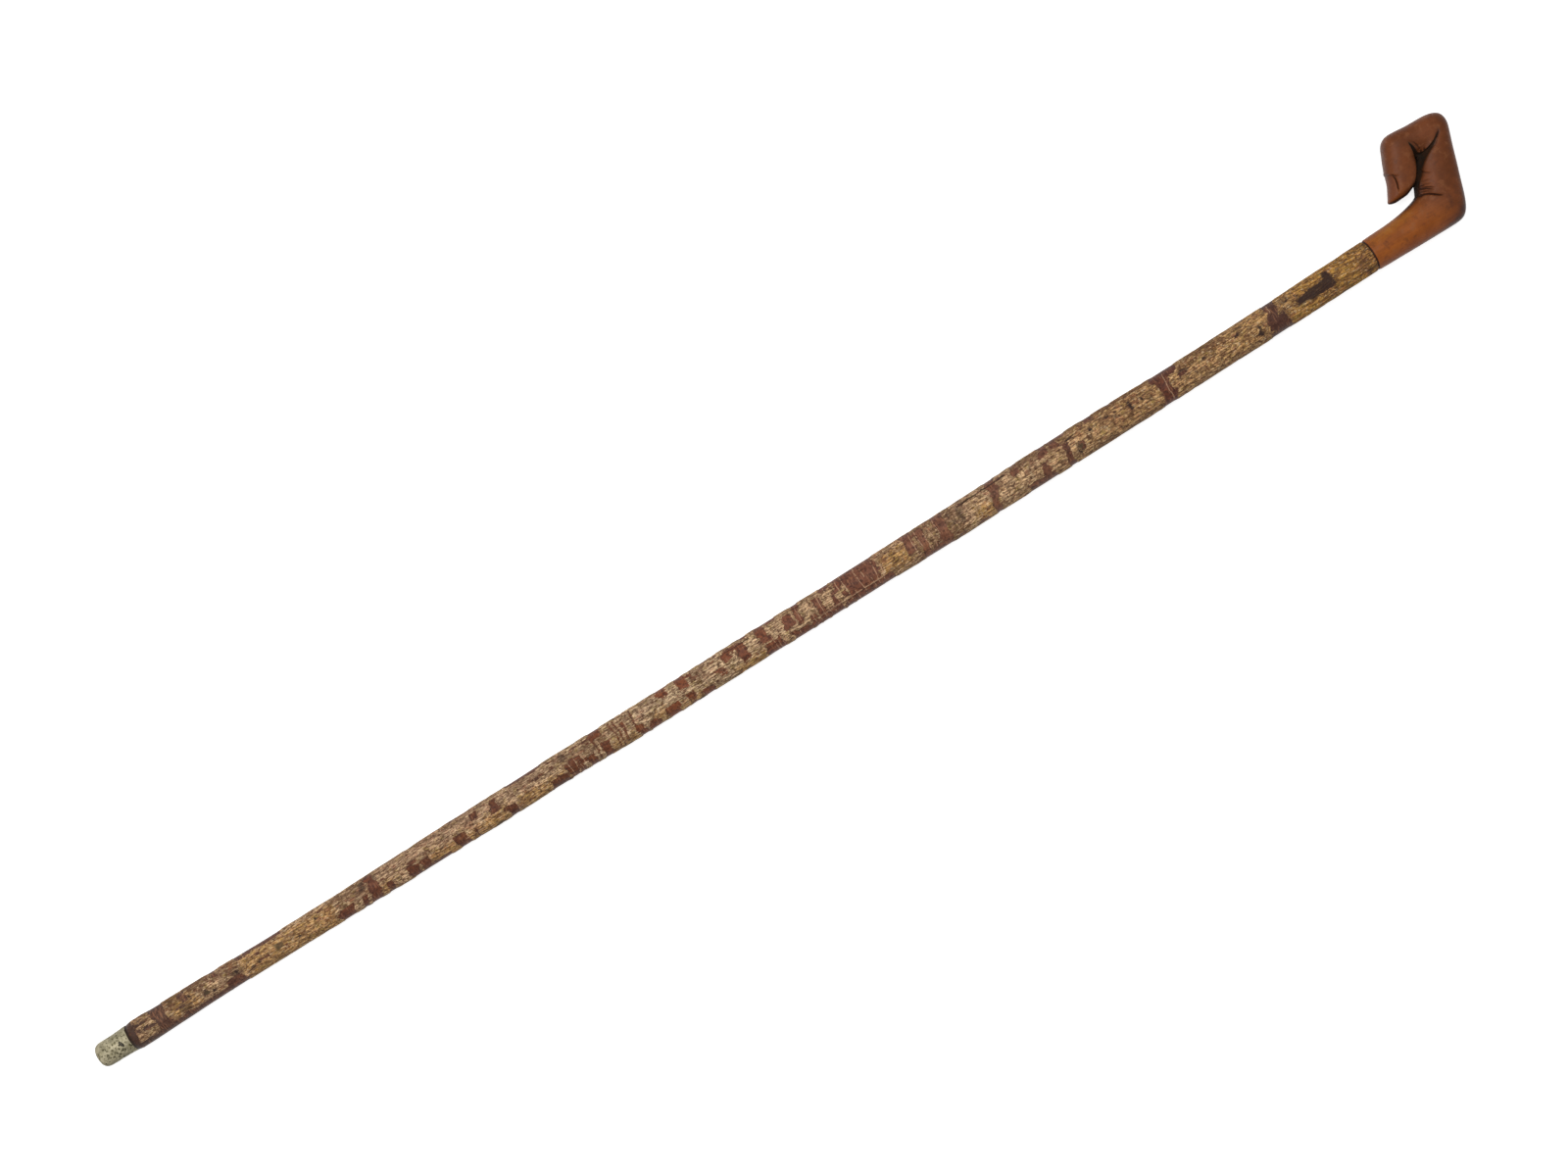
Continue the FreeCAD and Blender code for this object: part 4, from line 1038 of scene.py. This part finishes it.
def bark_material():
    """Tan ridged bark over a smooth maroon layer, with painted shadow and highlight along the worn patches'
    edges and painted shadow in the gaps.
    """
    material, tree = new_material("ridged_bark")
    place = attribute(tree, "bark_place", "Vector")
    along = add(tree, "ShaderNodeSeparateXYZ", {0: place}).outputs[0]
    share = maths(tree, "DIVIDE", along, COLOUR_LENGTH)
    ridges = grain(tree, place, RIDGE_LENGTH, RIDGE_PITCH, RIDGE_WIDTH, RIDGE_SEED)
    hairs = grain(tree, place, 3.0, 0.75, 0.12, 9.0)
    cloud = noise(tree, place, 0.11, 3.0, 0.6, 2.0)
    streak = long_noise(tree, place, 1.9, 1.15, 4.0, 0.66, 1.0)
    blotch = long_noise(tree, place, 1.8, 1.5, 3.0, 0.6, 10.0)
    scab = long_noise(tree, place, 1.8, 1.3, 3.0, 0.6, 13.0)
    hue = long_noise(tree, place, 3.6, 2.4, 3.0, 0.6, 21.0)
    specks = long_noise(tree, place, 0.9, 0.75, 2.0, 0.55, 23.0)
    ragged = spread(tree, long_noise(tree, place, 1.6, 0.6, 3.0, 0.65, 6.0), 0.2, 0.8, -0.8, 0.8)

    pale = stops(
        tree, share,
        (0.03, (226, 186, 142)), (0.15, (252, 214, 170)), (0.26, (238, 196, 154)), (0.45, (255, 222, 178)),
        (0.60, (230, 188, 144)), (0.70, (255, 214, 166)), (0.80, (214, 167, 113)), (0.87, (234, 186, 128)),
        (0.99, (204, 150, 80)),
    )
    brown = stops(
        tree, share,
        (0.03, (114, 82, 62)), (0.13, (134, 102, 72)), (0.26, (132, 102, 80)), (0.45, (150, 118, 92)),
        (0.60, (124, 92, 70)), (0.70, (146, 112, 84)), (0.80, (118, 84, 54)), (0.99, (106, 74, 38)),
    )
    tan = blended(tree, spread(tree, streak, 0.395, 0.515), brown, pale)
    uneven_edge = spread(tree, blotch, 0.3, 0.7, -0.45, 0.45)
    for name, strength, shade in (
        ("golden", 0.6, (206, 151, 66)), ("grey", 0.4, (158, 130, 110)), ("brown", 0.6, (102, 70, 48)),
    ):
        edge = plus(tree, attribute(tree, name), uneven_edge)
        tan = layered(tree, tan, (edge, 0.1, 0.9, strength, shade))
    tan = layered(
        tree, tan,
        (cloud, 0.55, 0.68, 0.3, (168, 112, 58)),
        (hue, 0.52, 0.66, 0.5, (180, 114, 86)), (hue, 0.47, 0.34, 0.5, (168, 144, 70)),
        (scab, 0.53, 0.61, 0.8, (76, 48, 33)), (specks, 0.565, 0.65, 0.8, (66, 42, 30)),
        (blotch, 0.45, 0.36, 0.7, (228, 198, 156)),
    )
    tan = blended(tree, times(tree, one_minus(tree, hairs), 0.45), tan, colour(96, 64, 44))
    tan = blended(tree, times(tree, one_minus(tree, ridges), 0.7), tan, colour(72, 46, 32))
    for name, strength in (("stain", 0.94), ("faint_stain", 0.58)):
        stain = plus(tree, attribute(tree, name), times(tree, ragged, 0.5))
        tan = layered(tree, tan, (stain, 0.3, 0.8, strength, (47, 32, 30)))

    rings = long_noise(tree, place, 0.9, 5.0, 2.0, 0.5, 7.0)
    maroon = stops(
        tree, share,
        (0.035, (70, 52, 41)), (0.05, (88, 62, 49)), (0.20, (103, 59, 40)), (0.35, (92, 52, 31)),
        (0.44, (126, 71, 43)), (0.58, (114, 69, 51)), (0.70, (122, 82, 62)), (0.83, (93, 52, 37)),
        (0.93, (77, 50, 40)),
    )
    maroon = layered(
        tree, maroon,
        (hue, 0.50, 0.64, 0.5, (72, 42, 34)), (hue, 0.46, 0.34, 0.4, (140, 82, 52)),
        (scab, 0.45, 0.62, 0.8, (58, 32, 23)), (rings, 0.53, 0.68, 0.5, (158, 110, 80)),
        (blotch, 0.40, 0.28, 0.5, (150, 104, 78)),
    )

    peel = plus(tree, attribute(tree, "peel"), ragged)
    outer = spread(tree, peel, -0.2, 0.2)
    sparse = spread(tree, blotch, 0.4, 0.6)
    # Painted shadow on the maroon just inside a worn patch's edge, and a painted highlight on the tan just
    # outside it.
    edge_shadow = times(tree, spread(tree, peel, -0.7, -0.1), spread(tree, peel, 0.25, -0.05))
    lit = times(tree, spread(tree, peel, 0.0, 0.2), spread(tree, peel, 0.75, 0.3))
    base = blended(tree, outer, maroon, tan)
    base = blended(tree, times(tree, edge_shadow, times(tree, sparse, 0.7)), base, colour(52, 32, 26))
    base = blended(tree, times(tree, lit, times(tree, sparse, 0.4)), base, colour(188, 152, 112))
    lip = plus(tree, attribute(tree, "lip"), times(tree, ragged, 0.35))
    lip = times(tree, spread(tree, lip, 0.35, 0.75), spread(tree, scab, 0.62, 0.46))
    base = blended(tree, times(tree, lip, 0.75), base, colour(188, 152, 120))
    # Knots, and painted shadow in the gaps beside the slivers and at the bark's ends.
    base = layered(
        tree, base,
        (attribute(tree, "knot"), 0.2, 0.9, 0.8, (72, 60, 42)),
        (attribute(tree, "shaded_gap"), 0.2, 0.8, 0.9, (38, 26, 20)),
    )

    roughness = blended(tree, outer, (0.5, 0.5, 0.5, 1), (0.75, 0.75, 0.75, 1))
    fibres = long_noise(tree, place, 3.0, 0.25, 3.0, 0.6, 15.0)
    lines = plus(tree, times(tree, ridges, outer), times(tree, hairs, 0.5))
    height = plus(tree, lines, times(tree, fibres, 0.6))
    return finished(material, base, roughness, height, 0.00016, 0.7, specular=0.14)


# The foot cup, its heel and its pin. Each row of the cup's outside and of its bore: place, radius.

CUP_PROFILE = (
    (0.0, 3.6), (0.0, 4.3), (0.25, 5.2), (0.85, 6.0), (1.8, 6.65), (3.0, 7.0), (4.4, 7.12), (8.0, 7.12),
    (11.5, 7.14), (14.0, 7.24), (17.0, 7.4), (20.2, 7.58), (20.55, 7.62), (20.72, 7.55), (20.78, 7.4),
    (20.78, 6.2),
)
CUP_BORE = ((2.4, 6.2), (2.4, 1.66), (1.4, 1.66), (1.4, 3.58), (0.0, 3.58))
CUP_AROUND = 168
CUP_STEP = 0.18
CUP_MEAN_RADIUS = 7.2
# The cup's rounded end inside this radius is under the heel and has no pits.
HEEL_EDGE = 5.0
# Dents in the cup: place, degrees, radius, depth.
CUP_DENTS = (
    (13.0, 22, 0.9, 0.25), (13.4, -14, 0.7, 0.2), (15.4, 34, 0.8, 0.22), (9.8, -4, 0.8, 0.25),
    (10.6, -18, 0.7, 0.2), (6.2, -12, 0.8, 0.24), (7.2, 6, 0.6, 0.2), (5.4, 22, 0.6, 0.16),
    (12.6, 44, 0.7, 0.15), (12.2, -38, 0.8, 0.2), (4.8, -42, 0.7, 0.22), (8.2, -62, 0.8, 0.2),
    (11.4, -26, 0.8, 0.22), (8.4, -34, 0.9, 0.2), (6.8, -28, 0.6, 0.18), (9.4, 14, 0.6, 0.18),
    (10.2, 130, 0.9, 0.25), (6.0, 170, 0.8, 0.25), (14.6, -120, 0.9, 0.25), (8.8, -165, 0.7, 0.2),
)
# The pin's oblong head: place, half length across the cup, half width, how far its ends are turned along
# the cup, its underside and its top above the stick's middle.
PIN_HEAD = (15.9, 1.75, 0.62, 0.38, 1.2, 7.6)
# Room left round the head in the cup.
PIN_ROOM = 0.35
# Shape of the pin from its shank up: share of the head's size, depth below the top.
PIN_RINGS = (
    (0.3, 1.6), (0.55, 1.2), (1.0, 0.9), (1.0, 0.35), (0.96, 0.2), (0.85, 0.08), (0.55, 0.01), (0.2, 0),
)
PIN_AROUND = 48
# How square the head's corners are, and the radius that its top follows.
PIN_SQUARE = 0.8
PIN_CROWN = 7.4


def turned_rings(profile, step):
    """A profile of places and radii, filled in with points no further apart than the step."""
    filled = [profile[0]]
    for start, end in zip(profile, profile[1:]):
        count = max(1, math.ceil(math.dist(start, end) / step))
        way = np.array(end) - start
        filled += [tuple(np.array(start) + way * part / count) for part in range(1, count + 1)]
    return np.array(filled)


def cup_surface(place, turn, radius):
    """How far the cup's outside is off its profile, and how dark it is from pits, dents and painted shade, 0
    to 1.
    """
    degrees = np.degrees(turn)
    height = 0.05 * uneven(place, turn, 4.0, 9, 31) + 0.035 * uneven(place, turn, 1.4, 26, 32)
    pits = uneven(place, turn, 1.1, 40, 33) * 0.55 + uneven(place, turn, 0.55, 76, 34) * 0.45
    pits += 0.22 * uneven(place, turn, 5.0, 8, 36) - 0.1 * np.sin(turn)
    height -= 0.16 * ramp_up(0.26, 0.62, pits)
    dark = ramp_up(0.12, 0.62, pits)
    uneven_dent = 0.7 + 0.5 * uneven(place, turn, 0.7, 60, 35)
    for centre, angle, size, depth in CUP_DENTS:
        away = np.hypot(place - centre, np.radians(turned_from(degrees, angle)) * CUP_MEAN_RADIUS)
        hollow = hump(away, size) * uneven_dent
        height -= depth * hollow
        dark = np.maximum(dark, np.clip(hollow * 1.3, 0, 1))
    head_place, half_length, half_width, turned = PIN_HEAD[:4]
    along, across = place - head_place, radius * np.sin(turn)
    from_head = np.hypot((across - along * turned) / (half_length + PIN_ROOM),
                         (along + across * turned) / (half_width + PIN_ROOM))
    from_head = np.where(abs(degrees) < 90, from_head, np.inf)
    height -= 0.3 * ramp_up(1.15, 0.8, from_head)
    # Painted shade on the cup's lower side, then in the recess round the pin's head and at the foot end.
    shadow = 0.34 * ramp_up(-25, -60, degrees) * ramp_up(-160, -120, degrees)
    for patch in (ramp_up(1.25, 0.9, from_head), ramp_up(0.55, 0.1, place) * 0.9, shadow):
        dark = np.maximum(dark, patch)
    return height, dark


def pitted_cup():
    """The foot cup: a pitted outside with the pin's recess, and its bore."""
    outline = turned_rings(CUP_PROFILE, CUP_STEP)
    hidden = turned_rings(CUP_PROFILE[-1:] + CUP_BORE, 4.0)[1:-1]
    rows = np.vstack((outline, hidden))
    place, turn = ring_grid(rows[:, 0], CUP_AROUND)
    radius = np.repeat(rows[:, 1], CUP_AROUND)
    seen = np.repeat(np.arange(len(rows)) < len(outline), CUP_AROUND) & (radius > HEEL_EDGE)
    height, dark = cup_surface(place, turn, radius)
    radius = radius + np.where(seen, height, 0)
    points = np.column_stack((place, radius * np.sin(turn), radius * np.cos(turn))) * MM + FOOT
    faces = tube_faces(len(rows), CUP_AROUND, endless=True)
    cup = mesh_object("pitted_cup", [tuple(point) for point in points], faces)
    store(cup.data, "pits_and_shade", np.where(seen, dark, 0))
    shade_smooth(cup)
    return cup


def riveted_pin():
    """The pin's shank and its oblong domed head, filed level with the cup."""
    place, half_length, half_width, turned, under, top = PIN_HEAD
    turn = np.linspace(0, 2 * math.pi, PIN_AROUND, endpoint=False)
    rings = []
    for share, height in ((0.3, under), *((share, top - below) for share, below in PIN_RINGS)):
        across = half_length * share * squared(np.cos(turn), PIN_SQUARE)
        along = half_width * share * squared(np.sin(turn), PIN_SQUARE)
        lower = across**2 / (2 * PIN_CROWN) if height > under else 0 * across
        plan = (place + along - across * turned, across + along * turned, height - lower)
        rings.append(np.column_stack(plan) * MM + FOOT)
    pin = closed_tube("riveted_pin", rings)
    shell = bmesh.new()
    shell.from_mesh(pin.data)
    bmesh.ops.recalc_face_normals(shell, faces=shell.faces)
    shell.to_mesh(pin.data)
    shell.free()
    shade_smooth(pin)
    return pin


def pewter():
    """Dull greenish-grey metal with dark pits, and painted shade on its lower side, round the pin and at its
    foot.
    """
    material, tree = new_material("pewter_cup")
    place = object_place(tree)
    worn = tarnish(tree, place, 3.2, 2.0)
    base = blended(tree, worn["Stain"], colour(132, 124, 99), colour(180, 170, 141))
    green = noise(tree, place, 0.45, 3.0, 0.6, 9.0)
    pits_and_shade = maths(tree, "MAXIMUM", attribute(tree, "pits_and_shade"), one_minus(tree, worn["Pits"]))
    base = layered(
        tree, base,
        (green, 0.52, 0.7, 0.6, (120, 112, 76)),
        (pits_and_shade, 0.05, 0.5, 0.5, (96, 90, 58)), (pits_and_shade, 0.45, 1.0, 0.9, (46, 40, 26)),
    )
    roughness = spread(tree, pits_and_shade, 0.1, 0.8, 0.5, 0.8)
    return finished(material, base, roughness, worn["Pits"], 0.00008, 0.6, specular=0.25, metallic=0.2)


def worn_metal(name, dark, light, metallic):
    """Plain old metal for the heel, the pin and the stud."""
    material, tree = new_material(name)
    worn = tarnish(tree, object_place(tree), 1.4, 5.0)
    base = blended(tree, worn["Stain"], colour(*dark), colour(*light))
    base = blended(tree, one_minus(tree, worn["Pits"]), base, colour(38, 34, 30))
    roughness = spread(tree, worn["Stain"], 0.0, 1.0, 0.62, 0.4)
    return finished(material, base, roughness, worn["Pits"], 0.00006, 0.5, metallic=metallic)


def stick_wood():
    """Bare pale wood under the bark."""
    material, tree = new_material("stick_wood")
    place = object_place(tree)
    lines = grain(tree, place, 40.0, 0.9, 0.2, 3.0)
    tone = long_noise(tree, place, 30.0, 3.0, 3.0, 0.5, 6.0)
    base = blended(tree, spread(tree, tone, 0.35, 0.65), colour(176, 138, 92), colour(198, 162, 116))
    base = blended(tree, times(tree, one_minus(tree, lines), 0.4), base, colour(138, 98, 60))
    return finished(material, base, 0.6, lines, 0.00005, 0.5)


def dark_glue():
    """Set glue, uneven and nearly black."""
    material, tree = new_material("dark_glue")
    lumps = noise(tree, object_place(tree), 1.6, 4.0, 0.6, 4.0)
    base = blended(tree, spread(tree, lumps, 0.35, 0.7), colour(34, 17, 12), colour(62, 32, 22))
    roughness = spread(tree, lumps, 0.3, 0.7, 0.45, 0.7)
    return finished(material, base, roughness, lumps, 0.0002, 0.6, specular=0.15)


def dress(node, material):
    """A CAD node that stays gets its own material."""
    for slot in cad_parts[node].material_slots:
        slot.material = material


# Floor, light and camera. The camera stands over the middle of the view, which is in millimetres from the
# middle of the joint.

CAMERA_LENS = 61.9
CAMERA_HEIGHT = 1.4766
CAMERA_ROLL = 32.27
VIEW_MIDDLE = (-369.1, 17.5)
FLOOR_REACH = 3
FLOOR_DROP = 0.0002
FLOOR_GLOW = 0.8
SKY_LIGHT = 0.3
WHITE_SKY = 1.0
LAMP_SIZE = (1.6, 1.2)
LAMP_POWER = 25.0
LAMP_PLACE = (-0.25, 0.5, 1.6)
LAMP_TILT = (-17, -9)


def seen_by_eye(tree):
    """1 for rays from the camera, a reflection or clear glass, 0 for the rays that light the stick."""
    rays = add(tree, "ShaderNodeLightPath").outputs
    seen = maths(tree, "MAXIMUM", rays["Is Camera Ray"], rays["Is Glossy Ray"])
    return maths(tree, "MAXIMUM", seen, rays["Is Transmission Ray"])


def white_floor():
    square = ((-1, -1), (1, -1), (1, 1), (-1, 1))
    corners = [(x * FLOOR_REACH, y * FLOOR_REACH, -FLOOR_DROP) for x, y in square]
    floor = mesh_object("white_floor", corners, [(0, 1, 2, 3)])
    material, tree = new_material("white_floor")
    shader = tree.nodes["Principled BSDF"]
    grit = noise(tree, add(tree, "ShaderNodeTexCoord").outputs["Object"], 40.0)
    feed(tree, shader.inputs["Base Color"], blended(tree, grit, colour(196, 196, 196), colour(200, 200, 200)))
    shader.inputs["Roughness"].default_value = 0.9
    shader.inputs["Specular IOR Level"].default_value = 0.0
    strength = times(tree, seen_by_eye(tree), FLOOR_GLOW)
    glow = add(tree, "ShaderNodeEmission", {"Color": (1, 1, 1, 1), "Strength": strength})
    both = add(tree, "ShaderNodeAddShader", {0: shader.outputs[0], 1: glow.outputs[0]})
    feed(tree, tree.nodes["Material Output"].inputs["Surface"], both.outputs[0])
    floor.data.materials.append(material)


def studio_light():
    world = bpy.data.worlds.new("studio")
    bpy.context.scene.world = world
    world.use_nodes = True
    tree = world.node_tree
    sky = tree.nodes["Background"]
    sky.inputs["Color"].default_value = (1, 1, 1, 1)
    glow = maths(tree, "MAXIMUM", times(tree, seen_by_eye(tree), WHITE_SKY), SKY_LIGHT)
    feed(tree, sky.inputs["Strength"], glow)
    soft_box = bpy.data.lights.new("soft_box", "AREA")
    soft_box.shape = "RECTANGLE"
    soft_box.size, soft_box.size_y = LAMP_SIZE
    soft_box.energy = LAMP_POWER
    lamp = new_object("soft_box", soft_box)
    lamp.location = LAMP_PLACE
    lamp.rotation_euler = (*(math.radians(angle) for angle in LAMP_TILT), 0)


def overhead_camera():
    lens = bpy.data.cameras.new("overhead")
    lens.lens = CAMERA_LENS
    lens.sensor_width = 36.0
    lens.clip_start = 0.05
    camera = new_object("overhead", lens)
    camera.location = JOINT + (VIEW_MIDDLE[0] * MM, VIEW_MIDDLE[1] * MM, CAMERA_HEIGHT)
    camera.rotation_euler = (0, 0, math.radians(-CAMERA_ROLL))
    bpy.context.scene.camera = camera


def place_piece(piece, material, node):
    if material:
        piece.data.materials.clear()
        piece.data.materials.append(material)
    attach(piece, "root")
    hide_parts(node)


white_floor()
studio_light()
overhead_camera()
place_piece(carved_finger(), fruitwood(), "finger_handle")
place_piece(ridged_bark(), None, "shaft_bark")
place_piece(pitted_cup(), pewter(), "ferrule_cup")
dress("joint_glue", dark_glue())
dress("shaft_wood", stick_wood())
dress("joining_stud", worn_metal("steel_stud", (120, 120, 120), (170, 170, 172), 1.0))
dress("ferrule_heel", worn_metal("iron_heel", (44, 40, 36), (78, 72, 64), 0.7))
iron_pin = worn_metal("iron_pin", (34, 30, 22), (60, 54, 38), 0.4)
place_piece(riveted_pin(), iron_pin, "ferrule_pin")

bpy.context.scene.view_settings.view_transform = "Standard"
